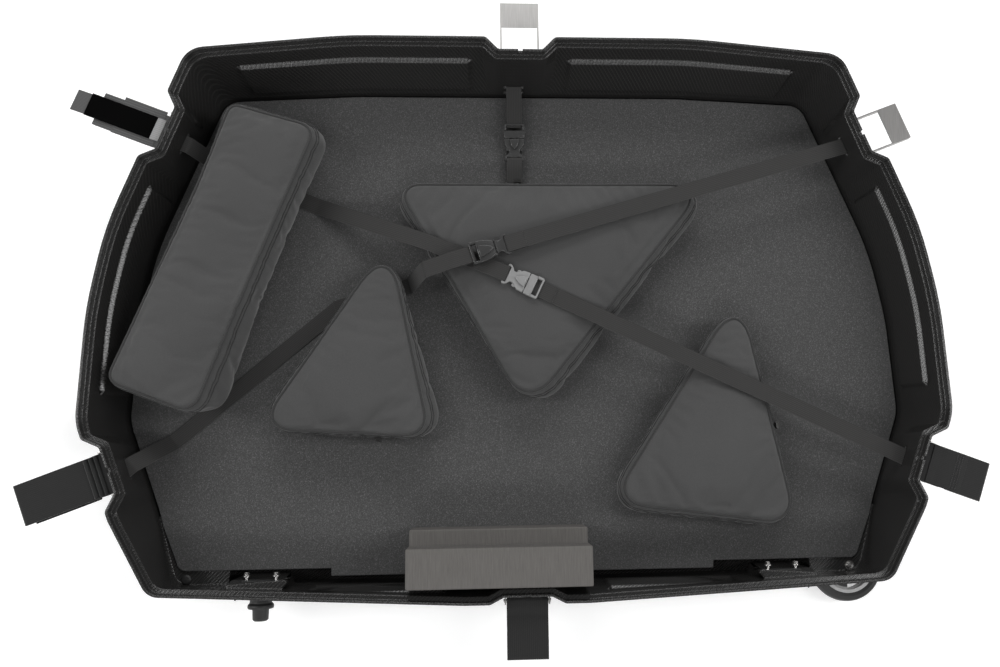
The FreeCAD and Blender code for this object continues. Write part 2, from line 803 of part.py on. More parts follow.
def folded(reach, back, tail, thick):
    """A strap path: tail under the pin, round it, out on top, folded down and back."""
    r = eye_r + thick / 2
    turns = [(-r * math.sin(k * math.pi / 6), -r * math.cos(k * math.pi / 6)) for k in range(7)]
    low = thick + 0.5
    path = [(tail, -low * 0.55), (20, -low * 0.55), (9, -r)] + turns + [(9, r), (20, low * 0.55)]
    return path + [(reach, low * 0.55), (reach + 2.4, 0), (reach, -low * 0.55), (reach - back, -low * 0.55)]


def out_frame(name):
    """A frame on a pin with X straight outwards."""
    foot, side, out_wall, rise, out = spots[name]
    return placed(pins[name].Base, out, UP.cross(out), UP)


band_thick = 2.6
band("closure_strap_lower_left", out_frame("lower_left"), folded(128, 70, 46, band_thick), band_thick,
     "sheet.closure_webbing")
band("closure_strap_lower_right", out_frame("lower_right"), folded(98, 52, 36, band_thick), band_thick,
     "sheet.closure_webbing")
band("closure_strap_bottom", out_frame("bottom"), folded(80, 36, 36, band_thick), band_thick,
     "sheet.closure_webbing")
band("closure_strap_upper_left", out_frame("upper_left"), folded(108, 60, 40, band_thick), band_thick,
     "sheet.closure_webbing - 8")
top_face = (band_thick + 0.5) * 0.55 + band_thick / 2 + 0.05
hook = band("hook_band_upper_left", out_frame("upper_left"),
            [(22, top_face + 0.8), (126, top_face + 0.8), (150, top_face - 1.2)], 1.6, "sheet.closure_webbing - 24")


# Wheel on an axle bolt through the relief, turning about Z

axle = V(axle_x, axle_y, 0)
wheel_r = val("wheel_radius")
wheel_low = 7
wheel_top = wheel_low + val("wheel_width")
inner_r = wheel_r - val("tyre_thick")
at_axle = FreeCAD.Placement(axle, FreeCAD.Rotation())


def turned(label, points, frame=at_axle):
    item = body(label, frame)
    spin(item, polygon(item, points, V(0, 0, 0), XZ))
    return item


middle = (wheel_low + wheel_top) / 2
turned("wheel_tyre", [(inner_r, wheel_low + 2), (inner_r + 5, wheel_low), (wheel_r - 3, wheel_low + 2),
                      (wheel_r - 0.8, wheel_low + 6), (wheel_r, middle), (wheel_r - 0.8, wheel_top - 6),
                      (wheel_r - 3, wheel_top - 2), (inner_r + 5, wheel_top), (inner_r, wheel_top - 2)])
rim_r = inner_r - 0.1
hub = turned("wheel_hub", [(11.2, 12), (14.5, 12), (14.5, middle - 4), (rim_r - 5, middle - 4),
                           (rim_r - 5, wheel_low + 1), (rim_r, wheel_low + 1), (rim_r, wheel_top - 1),
                           (rim_r - 5, wheel_top - 1), (rim_r - 5, middle + 4), (14.5, middle + 4),
                           (14.5, wheel_top - 0.5), (11.2, wheel_top - 0.5)])
near, far = 18, rim_r - 7
window_plan = polygon(hub, [(near, -5), (far, -11), (far + 1.6, 0), (far, 11), (near, 5), (near - 0.8, 0)])
window = grow(hub, "Pocket", window_plan, "80", True)
around = hub.newObject("PartDesign::PolarPattern", "hub_windows")
around.Originals = [window]
around.Axis = (window_plan, ["N_Axis"])
around.Angle = 360
around.Occurrences = 5
hub.Tip = around
turned("wheel_bearing", [(4.4, 13), (11, 13), (11, wheel_top - 1), (4.4, wheel_top - 1)])
ceiling = val("relief_top")
shaft = val("axle_radius")
turned("axle_bolt", [(0, 7.5), (shaft, 7.5), (shaft, ceiling + 2.2), (6, ceiling + 2.2), (6, ceiling + 3.6),
                     (4.4, ceiling + 5.6), (0, ceiling + 6.4)])


def washer(label, radius, bore, low, high, frame=at_axle):
    outer = doc.addObject("Part::Cylinder", label + "_disc")
    inner = doc.addObject("Part::Cylinder", label + "_bore")
    outer.setExpression("Radius", radius)
    inner.setExpression("Radius", bore)
    outer.Height = high - low
    inner.Height = high - low
    for item in (outer, inner):
        item.Placement = frame
        item.Placement.Base.z = low
    cut = doc.addObject("Part::Cut", label)
    cut.Base = outer
    cut.Tool = inner
    return node(cut, label)


washer("axle_washer", "1.9 * sheet.axle_radius", "sheet.axle_radius + 0.2", ceiling + gap, ceiling + 2)
washer("axle_spacer", "1.8 * sheet.axle_radius", "sheet.axle_radius + 0.2", wheel_top - 0.6, ceiling - wall - gap)
nut = body("axle_nut", at_axle)
six = [(6.6 * math.cos(k * math.pi / 3), 6.6 * math.sin(k * math.pi / 3)) for k in range(6)]
grow(nut, "Pad", polygon(nut, six, V(0, 0, 8)), "4.4")
grow(nut, "Pocket", circle(nut, "sheet.axle_radius + 0.1", V(0, 0, 8)), "60", True)


# Foot and its twin blank plate, each bolted through the back of a pocket

pocket_face = -val("pocket_y") - wall - gap


def bolted_plate(label, sign):
    item = body(label, FreeCAD.Placement(V(sign * val("pocket_x"), pocket_face, bolt_z), FreeCAD.Rotation()))
    grow(item, "Pad", rectangle(item, "sheet.bolt_pitch + 7", "30", V(0, 0, 0), XZ), "5")
    return item


foot_item = bolted_plate("foot", -1)
reach = val("foot_reach")
foot_profile = [(0, 4), (14.5, 4), (16, 33), (18.5, 36), (19, 38.5), (18.5, 41), (12, 42), (11.4, reach - 2),
                (9.5, reach), (0, reach)]
spin(foot_item, polygon(foot_item, foot_profile, V(0, 0, 0), FreeCAD.Rotation(V(1, 0, 0), 180)))
plates = [foot_item, bolted_plate("blank_plate", 1)]
bolts = []
nuts = []
for item, sign in zip(plates, (-1, 1)):
    for step in (-0.5, 0.5):
        dx = step * val("bolt_pitch")
        grow(item, "Pocket", circle(item, "2.6", V(dx, 0, 0), XZ), "60", True)
        spot = V(sign * val("pocket_x") + dx, pocket_face, bolt_z)
        shank = Part.makeCylinder(2.2, 15.8, spot - V(0, 6.5, 0), V(0, 1, 0))
        bolts.append(shank.fuse(Part.makeCylinder(4.4, 2.8, spot - V(0, 8.1, 0), V(0, 1, 0))))
        flange = Part.makeCylinder(5.6, 1.6, spot + V(0, wall + 2 * gap, 0), V(0, 1, 0))
        ring_six = [spot + V(4.4 * math.cos(k * math.pi / 3), 0, 4.4 * math.sin(k * math.pi / 3)) for k in range(7)]
        cap = Part.Face(Part.makePolygon(ring_six)).extrude(V(0, 4, 0)).translated(V(0, wall + 2 * gap + 1.6, 0))
        bore = Part.makeCylinder(2.3, 20, spot, V(0, 1, 0))
        nuts.append(flange.fuse(cap).cut(bore))
node(feature("pocket_bolts", Part.makeCompound(bolts)), "pocket_bolts")
node(feature("pocket_nuts", Part.makeCompound(nuts)), "pocket_nuts")
turned("relief_plug", [(0, ceiling - 12), (shaft, ceiling - 12), (shaft, ceiling + gap), (7, ceiling + gap),
                       (7, ceiling + 2), (5.2, ceiling + 3.6), (0, ceiling + 4.4)],
       FreeCAD.Placement(V(-axle_x, axle_y, 0), FreeCAD.Rotation()))

doc.recompute()
os.makedirs("parts", exist_ok=True)
for item in doc.Objects:
    if "Invalid" in item.State or "Error" in item.State:
        raise RuntimeError("%s is in error" % item.Label)
for item in nodes:
    if item.Shape.isNull() or not item.Shape.isValid() or not item.Shape.Solids:
        raise RuntimeError("%s has no valid solid" % item.Label)
    item.Shape.exportStep("parts/%s.step" % item.Label)
print(len(nodes), "parts written")
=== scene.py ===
# %% [markdown]
# # The open packing half of a bike travel case
# The solids come from the CAD model, in metres, and stay where they are. This lesson gives each of
# them a finish, and remakes what a solid can't show: padded bags, woven straps and moulded buckles.

# %% Load the frame
import math
import bmesh
import bpy
from mathutils import Matrix, Vector
from mathutils.bvhtree import BVHTree


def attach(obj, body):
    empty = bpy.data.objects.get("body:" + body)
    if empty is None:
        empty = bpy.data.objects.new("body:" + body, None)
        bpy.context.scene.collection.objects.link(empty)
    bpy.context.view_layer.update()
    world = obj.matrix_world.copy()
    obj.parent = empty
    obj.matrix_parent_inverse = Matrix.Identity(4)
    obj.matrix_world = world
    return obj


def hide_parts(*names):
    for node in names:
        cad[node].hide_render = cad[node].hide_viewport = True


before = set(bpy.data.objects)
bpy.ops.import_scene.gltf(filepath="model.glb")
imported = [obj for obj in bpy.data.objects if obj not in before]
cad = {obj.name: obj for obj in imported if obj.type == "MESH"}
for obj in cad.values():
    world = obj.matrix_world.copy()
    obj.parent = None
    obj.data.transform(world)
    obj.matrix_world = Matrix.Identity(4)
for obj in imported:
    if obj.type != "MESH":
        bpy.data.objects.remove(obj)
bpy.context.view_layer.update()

scene = bpy.context.scene
scene.view_settings.view_transform = "Standard"
print("solids:", len(cad))

# %% [markdown]
# The photograph looks down from above the lower middle of the tray. Its lens, tilt and centre were
# worked out from the notches of the rim, so the camera is placed by a matrix and not by hand.

# %% Camera
SENSOR = 36.0
LENS_PER_SENSOR = 0.870
EYE = (-0.0566, -0.2281, 1.4175)
lens = bpy.data.cameras.new("camera")
camera = bpy.data.objects.new("camera", lens)
scene.collection.objects.link(camera)
scene.camera = camera
lens.sensor_width = SENSOR
lens.lens = SENSOR * LENS_PER_SENSOR
lens.shift_x = -0.0325
lens.shift_y = 0.0162
lens.clip_end = 50
roll = Matrix.Rotation(math.radians(-0.87), 4, "Z")
pan = Matrix.Rotation(math.radians(-2.96), 4, "Y")
tilt = Matrix.Rotation(math.radians(7.5), 4, "X")
camera.matrix_world = Matrix.Translation(EYE) @ roll @ pan @ tilt
print("camera height:", round(camera.matrix_world.translation.z, 3))

# %% [markdown]
# A material is a small graph. This helper adds one node, fills its sockets in order with numbers or
# with links, and hands it back, so that a pattern reads like a sum.

# %% Node helper
def add(tree, kind, *inputs, **settings):
    node = tree.nodes.new("ShaderNode" + kind)
    for name, value in settings.items():
        setattr(node, name, value)
    for socket, value in zip(node.inputs, inputs):
        if isinstance(value, bpy.types.NodeSocket):
            tree.links.new(value, socket)
        elif value is not None:
            socket.default_value = value
    return node


def math_of(tree, kind, *inputs):
    return add(tree, "Math", *inputs, operation=kind).outputs[0]


def between(tree, factor, low, high):
    """A number that runs from low to high as the factor runs from 0 to 1."""
    return add(tree, "MapRange", factor, 0.0, 1.0, low, high).outputs[0]


print("node helper:", add.__name__)

# %% [markdown]
# Colours here are greys, some a little warm. A Mix node blends two of them by a pattern, which is how
# every finish below gets its light and dark.

# %% Greys and their blends
def grey(value, warm=0.0):
    return (value * (1 + warm), value, value * (1 - warm))


def blend_colour(tree, factor, first, second):
    node = add(tree, "Mix", data_type="RGBA")
    for socket, value in ((node.inputs[0], factor), (node.inputs[6], first), (node.inputs[7], second)):
        if isinstance(value, bpy.types.NodeSocket):
            tree.links.new(value, socket)
        else:
            socket.default_value = (*value, 1.0)
    return node.outputs[2]


print("a warm grey:", grey(0.5, 0.05))

# %% [markdown]
# Each finish starts the same way: one Principled shader, with the numbers that are the same all over set
# on its own sockets, and Object coordinates for the patterns. Paint and emboss then link what varies.

# %% Starting a finish
def start(name, roughness=0.5, metallic=0.0, **sockets):
    """A new material with one Principled shader, its tree and its Object coordinates."""
    material = bpy.data.materials.new(name)
    material.use_nodes = True
    tree = material.node_tree
    shader = tree.nodes["Principled BSDF"]
    shader.inputs["Roughness"].default_value = roughness
    shader.inputs["Metallic"].default_value = metallic
    for socket, value in sockets.items():
        shader.inputs[socket.replace("_", " ").title().replace("Ior", "IOR")].default_value = value
    place = add(tree, "TexCoord").outputs["Object"]
    return material, tree, shader, place


def noise(tree, place, scale, detail=2.0, rough=0.5):
    return add(tree, "TexNoise", place, None, scale, detail, rough).outputs[0]


def emboss(tree, shader, height, distance, strength=1.0):
    bump = add(tree, "Bump")
    bump.inputs["Strength"].default_value = strength
    bump.inputs["Distance"].default_value = distance
    tree.links.new(height, bump.inputs["Height"])
    tree.links.new(bump.outputs[0], shader.inputs["Normal"])


def paint(tree, shader, colour, roughness=None):
    tree.links.new(colour, shader.inputs["Base Color"])
    if roughness is not None:
        tree.links.new(roughness, shader.inputs["Roughness"])


print("a finish is started by:", start.__name__)

# %% [markdown]
# The floor is pale and keeps a soft shadow. A little of its white is only for what looks at it, so
# that the background is white while the lamps stay at a plain level.

# %% Floor
FLOOR_HALF, FLOOR_DROP, FLOOR_GLOW = 8.0, 0.0005, 0.42


def seen(tree):
    """1 for rays that look at a thing, straight or by way of a mirror or glass."""
    path = add(tree, "LightPath").outputs
    both = math_of(tree, "MAXIMUM", path["Is Camera Ray"], path["Is Glossy Ray"])
    return math_of(tree, "MAXIMUM", both, path["Is Transmission Ray"])


plane = bmesh.new()
bmesh.ops.create_grid(plane, x_segments=1, y_segments=1, size=FLOOR_HALF)
floor_mesh = bpy.data.meshes.new("floor")
plane.to_mesh(floor_mesh)
plane.free()
floor = bpy.data.objects.new("floor", floor_mesh)
floor.location.z = -FLOOR_DROP
scene.collection.objects.link(floor)
floor_paint = bpy.data.materials.new("floor_paint")
floor_paint.use_nodes = True
tree = floor_paint.node_tree
tree.nodes.remove(tree.nodes["Principled BSDF"])
matt = add(tree, "BsdfDiffuse", (0.8, 0.8, 0.8, 1.0))
glow = add(tree, "Emission", (1.0, 1.0, 1.0, 1.0), math_of(tree, "MULTIPLY", seen(tree), FLOOR_GLOW))
both = add(tree, "AddShader", matt.outputs[0], glow.outputs[0])
tree.links.new(both.outputs[0], tree.nodes["Material Output"].inputs[0])
floor_mesh.materials.append(floor_paint)
print("floor width:", 2 * FLOOR_HALF)

# %% [markdown]
# A level surface of black plastic mirrors what hangs above it, so the sky is dim overhead and bright at
# the horizon, and the lamps stand round the tray and not over it: ledges stay black while every rounded
# edge catches a line.

# %% Sky and lamps
HORIZON, ZENITH = 0.95, 0.12
AIM = Vector((0, 0, 0.05))
sky = bpy.data.worlds.new("sky")
sky.use_nodes = True
scene.world = sky
tree = sky.node_tree
climb_of_ray = add(tree, "SeparateXYZ", add(tree, "TexCoord").outputs["Generated"]).outputs[2]
background = tree.nodes["Background"].inputs
background[0].default_value = (1.0, 1.0, 1.0, 1.0)
tree.links.new(between(tree, climb_of_ray, HORIZON, ZENITH), background[1])


def lamp(name, place, size, power):
    light = bpy.data.lights.new(name, "AREA")
    light.shape = "RECTANGLE"
    light.size, light.size_y = size
    light.energy = power
    item = bpy.data.objects.new(name, light)
    item.visible_camera = False
    scene.collection.objects.link(item)
    turn = (AIM - Vector(place)).to_track_quat("-Z", "Y").to_matrix().to_4x4()
    item.matrix_world = Matrix.Translation(place) @ turn


lamp("far_softbox", (0.2, 3.2, 2.5), (3.4, 1.0), 62)
for name, x in (("left_softbox", -2.7), ("right_softbox", 2.7)):
    lamp(name, (x, 0.1, 2.8), (0.7, 2.4), 40)
lamp("near_softbox", (0.0, -2.2, 2.7), (2.6, 0.5), 26)
print("lamps:", len(bpy.data.lights))

# %% [markdown]
# The tray is a sheet of black plastic with a printed twill: fine slanting ribs with a second, weaker
# set across them. The slanted sum of x, y and z draws ribs on the floor and on every wall alike. A
# Bevel node rounds the shading of each edge, as the heated sheet does over its mould.

# %% Twill plastic
RIB_PITCH, TICK_PITCH = 0.006, 0.003
EDGE_ROUND = 0.0035


def wave(tree, along, pitch):
    """A sine that repeats at each pitch along a length."""
    return math_of(tree, "SINE", math_of(tree, "MULTIPLY", along, 2 * math.pi / pitch))


twill_plastic, tree, shader, place = start("twill_plastic", 0.2, specular_ior_level=0.6)
axis = add(tree, "SeparateXYZ", place).outputs
slant = math_of(tree, "ADD", math_of(tree, "SUBTRACT", axis[0], axis[1]), axis[2])
cross = math_of(tree, "ADD", math_of(tree, "ADD", axis[0], axis[1]), axis[2])
rib = between(tree, wave(tree, slant, RIB_PITCH), 0.5, 1.0)
tick = between(tree, wave(tree, cross, TICK_PITCH), 0.75, 1.0)
weave = math_of(tree, "MULTIPLY", rib, tick)
cloud = noise(tree, place, 7.0)
shade = blend_colour(tree, weave, grey(0.009), grey(0.026, 0.03))
gloss = math_of(tree, "ADD", between(tree, weave, 0.3, 0.14), between(tree, cloud, -0.04, 0.04))
paint(tree, shader, shade, gloss)
emboss(tree, shader, weave, 0.0003, 0.5)
rounded = add(tree, "Bevel", EDGE_ROUND, samples=6).outputs[0]
tree.links.new(rounded, shader.inputs["Normal"].links[0].from_node.inputs["Normal"])
print("twill rib pitch:", RIB_PITCH)

# %% [markdown]
# Two foams line the tray. The floor is a fine-celled sheet with pale flecks, which a power picks out
# sparsely from a cell pattern. The block is sawn from a larger one, so its noise is drawn out into the
# long marks of the saw.

# %% Foam and block finishes
FLECK_SCALE, GRAIN_SCALE = 900.0, 520.0
floor_foam, tree, shader, place = start("floor_foam", 0.92, specular_ior_level=0.25)
speck = between(tree, add(tree, "TexVoronoi", place, None, FLECK_SCALE).outputs["Color"], 0.0, 1.0)
bright = math_of(tree, "POWER", speck, 4.0)
mottle = noise(tree, place, GRAIN_SCALE, 3.0, 0.7)
worn = noise(tree, place, 3.5, 2.0)
base = blend_colour(tree, mottle, grey(0.029), grey(0.084))
flecked = blend_colour(tree, bright, base, grey(0.17))
paint(tree, shader, blend_colour(tree, between(tree, worn, 0.0, 0.35), flecked, grey(0.056)))
emboss(tree, shader, mottle, 0.0006, 0.6)

block_foam, tree, shader, place = start("block_foam", 0.9, specular_ior_level=0.2)
stretched = add(tree, "Mapping", place).outputs[0]
stretched.node.inputs["Scale"].default_value = (1.0, 0.06, 0.06)
saw = noise(tree, stretched, GRAIN_SCALE, 4.0, 0.7)
paint(tree, shader, blend_colour(tree, saw, grey(0.075, 0.05), grey(0.15, 0.05)))
emboss(tree, shader, saw, 0.0006, 0.6)
print("foams:", floor_foam.name, block_foam.name)

# %% [markdown]
# The bags and their piping are plain woven cloth. Its threads are two waves on Object coordinates,
# because the remeshed bags have no UV map. Fine grain and slow clouds keep it from looking printed.

# %% Cloth finishes
def cloth(name, dark, light, thread, rough=0.88, sheen=0.25, gloss=0.4):
    """Plain woven cloth on Object coordinates, with soft cloudy wear."""
    material, tree, shader, place = start(name, rough, sheen_weight=sheen, sheen_roughness=0.5,
                                          specular_ior_level=gloss)
    axis = add(tree, "SeparateXYZ", place).outputs
    warp, weft = wave(tree, axis[0], thread), wave(tree, axis[1], thread)
    grid = between(tree, math_of(tree, "MULTIPLY", warp, weft), 0.2, 0.8)
    grain = noise(tree, place, 900.0, 2.0)
    cloud = noise(tree, place, 9.0, 3.0)
    mixed = math_of(tree, "ADD", math_of(tree, "MULTIPLY", grid, 0.35), math_of(tree, "MULTIPLY", grain, 0.4))
    mixed = math_of(tree, "ADD", mixed, math_of(tree, "MULTIPLY", cloud, 0.3))
    paint(tree, shader, blend_colour(tree, mixed, grey(dark), grey(light)))
    emboss(tree, shader, math_of(tree, "ADD", grid, grain), 0.0002, 0.6)
    return material


BAG_THREAD = 0.0016
bag_cloth = cloth("bag_cloth", 0.022, 0.09, BAG_THREAD)
piping_cloth = cloth("piping_cloth", 0.012, 0.03, 0.001, rough=0.7)
hook_pile = cloth("hook_pile", 0.0012, 0.005, 0.0012, rough=0.95, sheen=0.0, gloss=0.0)
print("bag thread:", BAG_THREAD)

# %% [markdown]
# The straps are ribbed tape. A tape has its own UV map, in shares across it and metres along it, so its
# ribs and cross threads follow every bend.

# %% Webbing finishes
CROSS_THREAD = 0.0022


def ribbed(name, dark, light, ribs, warm=0.0, rough=0.75):
    """Woven tape: ribs run along it, by the piece's own UV, with fine cross threads."""
    material, tree, shader, place = start(name, rough, sheen_weight=0.15, specular_ior_level=0.3)
    axis = add(tree, "SeparateXYZ", add(tree, "UVMap").outputs[0]).outputs
    rib = between(tree, wave(tree, axis[0], 1 / ribs), 0.3, 1.0)
    step = math_of(tree, "ADD", math_of(tree, "MULTIPLY", axis[1], 2 * math.pi / CROSS_THREAD),
                   math_of(tree, "MULTIPLY", axis[0], math.pi * ribs))
    thread = between(tree, math_of(tree, "SINE", step), 0.6, 1.0)
    fuzz = noise(tree, place, 700.0, 2.0)
    height = math_of(tree, "MULTIPLY", rib, thread)
    tone = math_of(tree, "MULTIPLY", height, between(tree, fuzz, 0.7, 1.15))
    paint(tree, shader, blend_colour(tree, tone, grey(dark, warm), grey(light, warm)))
    emboss(tree, shader, height, 0.0003, 0.6)
    return material


strap_webbing = ribbed("strap_webbing", 0.018, 0.043, 9, 0.02)
closure_webbing = ribbed("closure_webbing", 0.007, 0.018, 22)
tongue_webbing = ribbed("tongue_webbing", 0.05, 0.12, 16)
tab_webbing = ribbed("tab_webbing", 0.24, 0.38, 12)
print("webbing cross thread:", CROSS_THREAD)

# %% [markdown]
# Buckles, tyre and feet are moulded. The faint grain of the mould and a little dust break up their
# gloss, so the same few nodes make hard plastic or soft rubber by their colour and roughness.

# %% Moulded finishes
def moulded(name, dark, light, rough, scale=350.0):
    """Plastic or rubber with the faint grain of its mould and a little dust."""
    material, tree, shader, place = start(name, rough, specular_ior_level=0.5)
    grain = noise(tree, place, scale, 2.0)
    dust = noise(tree, place, 30.0, 4.0, 0.65)
    gloss = math_of(tree, "ADD", between(tree, grain, rough - 0.08, rough + 0.08),
                    between(tree, dust, -0.05, 0.05))
    paint(tree, shader, blend_colour(tree, dust, grey(dark), grey(light)), gloss)
    emboss(tree, shader, grain, 0.0001, 0.4)
    return material


buckle_plastic = moulded("buckle_plastic", 0.03, 0.05, 0.2)
grey_plastic = moulded("grey_plastic", 0.2, 0.3, 0.2)
satin_plastic = moulded("satin_plastic", 0.03, 0.055, 0.24)
tyre_rubber = moulded("tyre_rubber", 0.01, 0.022, 0.55, 500.0)
foot_rubber = moulded("foot_rubber", 0.01, 0.02, 0.5)
print("finishes so far:", len(bpy.data.materials))

# %% [markdown]
# Bails and fittings are brushed sheet steel. A Mapping node stretches the noise one way, and what was
# grain becomes long scratches that vary both the colour and the gloss.

# %% Brushed metal finishes
def brushed(name, dark, light, rough, stretch):
    """Sheet steel with fine scratches drawn out along one way."""
    material, tree, shader, place = start(name, rough, 1.0)
    drawn = add(tree, "Mapping", place)
    drawn.inputs["Scale"].default_value = stretch
    line = noise(tree, drawn.outputs[0], 900.0, 3.0, 0.6)
    paint(tree, shader, blend_colour(tree, line, grey(dark, 0.02), grey(light, 0.02)),
          between(tree, line, rough - 0.07, rough + 0.09))
    emboss(tree, shader, line, 0.00005, 0.35)
    return material


bail_steel = brushed("bail_steel", 0.42, 0.62, 0.36, (1.0, 0.04, 1.0))
# The upper right bail gets a darker copy of the same bail steel, darker all over.
worn_steel = brushed("worn_steel", 0.27, 0.42, 0.38, (1.0, 0.04, 1.0))
fitting_steel = brushed("fitting_steel", 0.35, 0.5, 0.32, (0.05, 1.0, 1.0))
bright_zinc = brushed("bright_zinc", 0.6, 0.8, 0.22, (1.0, 1.0, 0.2))
zip_metal = brushed("zip_metal", 0.03, 0.08, 0.35, (1.0, 1.0, 1.0))
print("finishes so far:", len(bpy.data.materials))

# %% [markdown]
# The wheel's hub is one solid, dark with a bright rim. Its colour follows the distance from the axle, so
# no second piece is needed for the rim.

# %% Wheel hub finish
AXLE = Vector((0.514, -0.395, 0.018))
RIM_START, RIM_FULL = 0.0345, 0.036
hub_plastic, tree, shader, place = start("hub_plastic", 0.4)
spot = add(tree, "VectorMath", place, AXLE, operation="SUBTRACT").outputs[0]
flat = add(tree, "VectorMath", spot, (1.0, 1.0, 0.0), operation="MULTIPLY").outputs[0]
away = add(tree, "VectorMath", flat, operation="LENGTH").outputs["Value"]
rim = add(tree, "MapRange", away, RIM_START, RIM_FULL, 0.0, 1.0).outputs[0]
dust = noise(tree, place, 40.0, 4.0, 0.65)
inside = blend_colour(tree, dust, grey(0.012), grey(0.03))
bright_rim = blend_colour(tree, dust, grey(0.34), grey(0.5))
paint(tree, shader, blend_colour(tree, rim, inside, bright_rim), between(tree, dust, 0.32, 0.46))
emboss(tree, shader, noise(tree, place, 350.0), 0.0001, 0.4)
print("finishes:", len(bpy.data.materials))

# %% [markdown]
# Now each solid gets a finish in its material slot. A few have one of their own, most follow the first
# word of their name, and what is left over are bags, zip sliders and small zinc fasteners.

# %% Give the solids their finishes
finish_of = {
    "shell": twill_plastic, "floor_pad": floor_foam, "chainring_block": block_foam,
    "wheel_tyre": tyre_rubber, "wheel_hub": hub_plastic, "foot": foot_rubber,
    "blank_plate": foot_rubber, "relief_plug": foot_rubber, "bail_upper_right": worn_steel,
}
kind_of = {"bail": bail_steel, "bracket": fitting_steel, "pin": fitting_steel, "buckle": buckle_plastic,
           "strap": strap_webbing, "closure": closure_webbing, "hook": hook_pile}
for name, item in cad.items():
    finish = finish_of.get(name) or kind_of.get(name.split("_")[0])
    if finish is None:
        finish = bag_cloth if name.endswith("bag") else zip_metal if name.endswith("slider") else bright_zinc
    item.data.materials.clear()
    item.data.materials.append(finish)
print("solids finished:", len(cad))

# %% [markdown]
# A new piece is drawn in a bmesh and then settled: its mesh gets a finish and smooth faces, it rides on
# a body of the CAD model, and the solids that it stands for are hidden. A copy of a solid still carries
# the solid's stored normals, which would smear its shading, so they are taken off.

# %% Settling a piece
def settle(name, mesh, finish, body, nodes=(), slot=None):
    data = bpy.data.meshes.new(name)
    mesh.to_mesh(data)
    mesh.free()
    if "custom_normal" in data.attributes:
        data.attributes.remove(data.attributes["custom_normal"])
    return place_piece(name, data, finish, body, nodes)


def place_piece(name, data, finish, body, nodes=()):
    data.materials.clear()
    data.materials.append(finish)
    data.polygons.foreach_set("use_smooth", [True] * len(data.polygons))
    piece = bpy.data.objects.new(name, data)
    scene.collection.objects.link(piece)
    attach(piece, body)
    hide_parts(*nodes)
    return piece


def modify(piece, kind, **settings):
    step = piece.modifiers.new(kind.lower(), kind)
    for name, value in settings.items():
        setattr(step, name, value)
    return step


def soften(piece, width, segments=2, angle=30):
    """Round the edges that turn by more than an angle."""
    return modify(piece, "BEVEL", width=width, segments=segments, limit_method="ANGLE",
                  angle_limit=math.radians(angle), harden_normals=True)


print("pieces are settled by:", settle.__name__)

# %% [markdown]
# The long panels of the walls stand proud to the inside, so that their upper edges catch the light. On
# a merged copy of the tray each panel point is pressed back through the straight line of its wall, and
# the ledge under the lip is laid a little lower.

# %% Tray with its wall panels
FOOT_Z, LOW_Z, HIGH_Z, HEAD_Z = 0.054, 0.058, 0.110, 0.114
LEDGE_Z, LEDGE_DROP = 0.1415, 0.0032
WELD, SLACK, LEAST_PROUD, SHARP_TURN = 0.00002, 0.0003, 0.0015, 28
tray = bmesh.new()
tray.from_mesh(cad["shell"].data)
bmesh.ops.remove_doubles(tray, verts=tray.verts, dist=WELD)
bmesh.ops.recalc_face_normals(tray, faces=tray.faces)
tray.normal_update()


def at_level(item, z):
    return all(abs(v.co.z - z) < SLACK for v in getattr(item, "verts", [item]))


def skin_of(vert):
    """True on the skin that faces out of the tray, False on the one that faces in."""
    return vert.normal.xy.dot(vert.co.xy) > 0


def wall_ring(z, outside):
    """The edges of one skin at one height, as pairs of points."""
    return [[v.co.copy() for v in e.verts] for e in tray.edges
            if at_level(e, z) and all(skin_of(v) == outside for v in e.verts)]


def nearest_on(ring, spot):
    """The point of a ring of edges that is nearest in plan."""
    feet = []
    for a, b in ring:
        share = (spot - a).dot(b - a) / max((b - a).length_squared, 1e-12)
        feet.append(a.lerp(b, min(1.0, max(0.0, share))))
    return min(feet, key=lambda foot: (foot.xy - spot.xy).length)


pressed = {}
for outside in (True, False):
    foot_ring, head_ring = wall_ring(FOOT_Z, outside), wall_ring(HEAD_Z, outside)
    for vert in tray.verts:
        if skin_of(vert) == outside and LOW_Z - SLACK < vert.co.z < HIGH_Z + SLACK:
            foot, head = nearest_on(foot_ring, vert.co), nearest_on(head_ring, vert.co)
            wall = head - foot
            out = Vector((wall.x, wall.y, 0)).normalized()
            proud = (vert.co - foot - wall * ((vert.co.z - FOOT_Z) / (HEAD_Z - FOOT_Z))).dot(out)
            if proud > LEAST_PROUD:
                pressed[vert] = vert.co - out * (2 * proud)
for vert, spot in pressed.items():
    vert.co = spot
for vert in tray.verts:
    if at_level(vert, LEDGE_Z):
        vert.co.z -= LEDGE_DROP
tray_piece = settle("tray", tray, twill_plastic, "case", ["shell"], "shell")
tray_piece.data.set_sharp_from_angle(angle=math.radians(SHARP_TURN))
print("panel points pressed in:", len(pressed))

# %% [markdown]
# Both foams are cut from sheet, so their solids already have the right outline. A merged copy of each
# gets soft sawn edges, which a CAD solid leaves sharp.

# %% Foam floor and foam block
def foam_copy(node, finish, slot, edge):
    mesh = bmesh.new()
    mesh.from_mesh(cad[node].data)
    bmesh.ops.remove_doubles(mesh, verts=mesh.verts, dist=WELD)
    bmesh.ops.dissolve_limit(mesh, angle_limit=math.radians(1), verts=mesh.verts, edges=mesh.edges)
    piece = settle(node + "_foam", mesh, finish, "case", [node], slot)
    soften(piece, edge, 3)
    print(piece.name, "faces:", len(piece.data.polygons))


foam_copy("floor_pad", floor_foam, "floor_foam", 0.003)
foam_copy("chainring_block", block_foam, "block_foam", 0.0025)

# %% [markdown]
# Each bag starts as a flat face with rounded corners. It is drawn up to its height and inset in steps,
# so that a ring of points marks the seam where the piping is sewn. A step is how far in it goes, and how
# far it lies above the bag's foot or below its top.

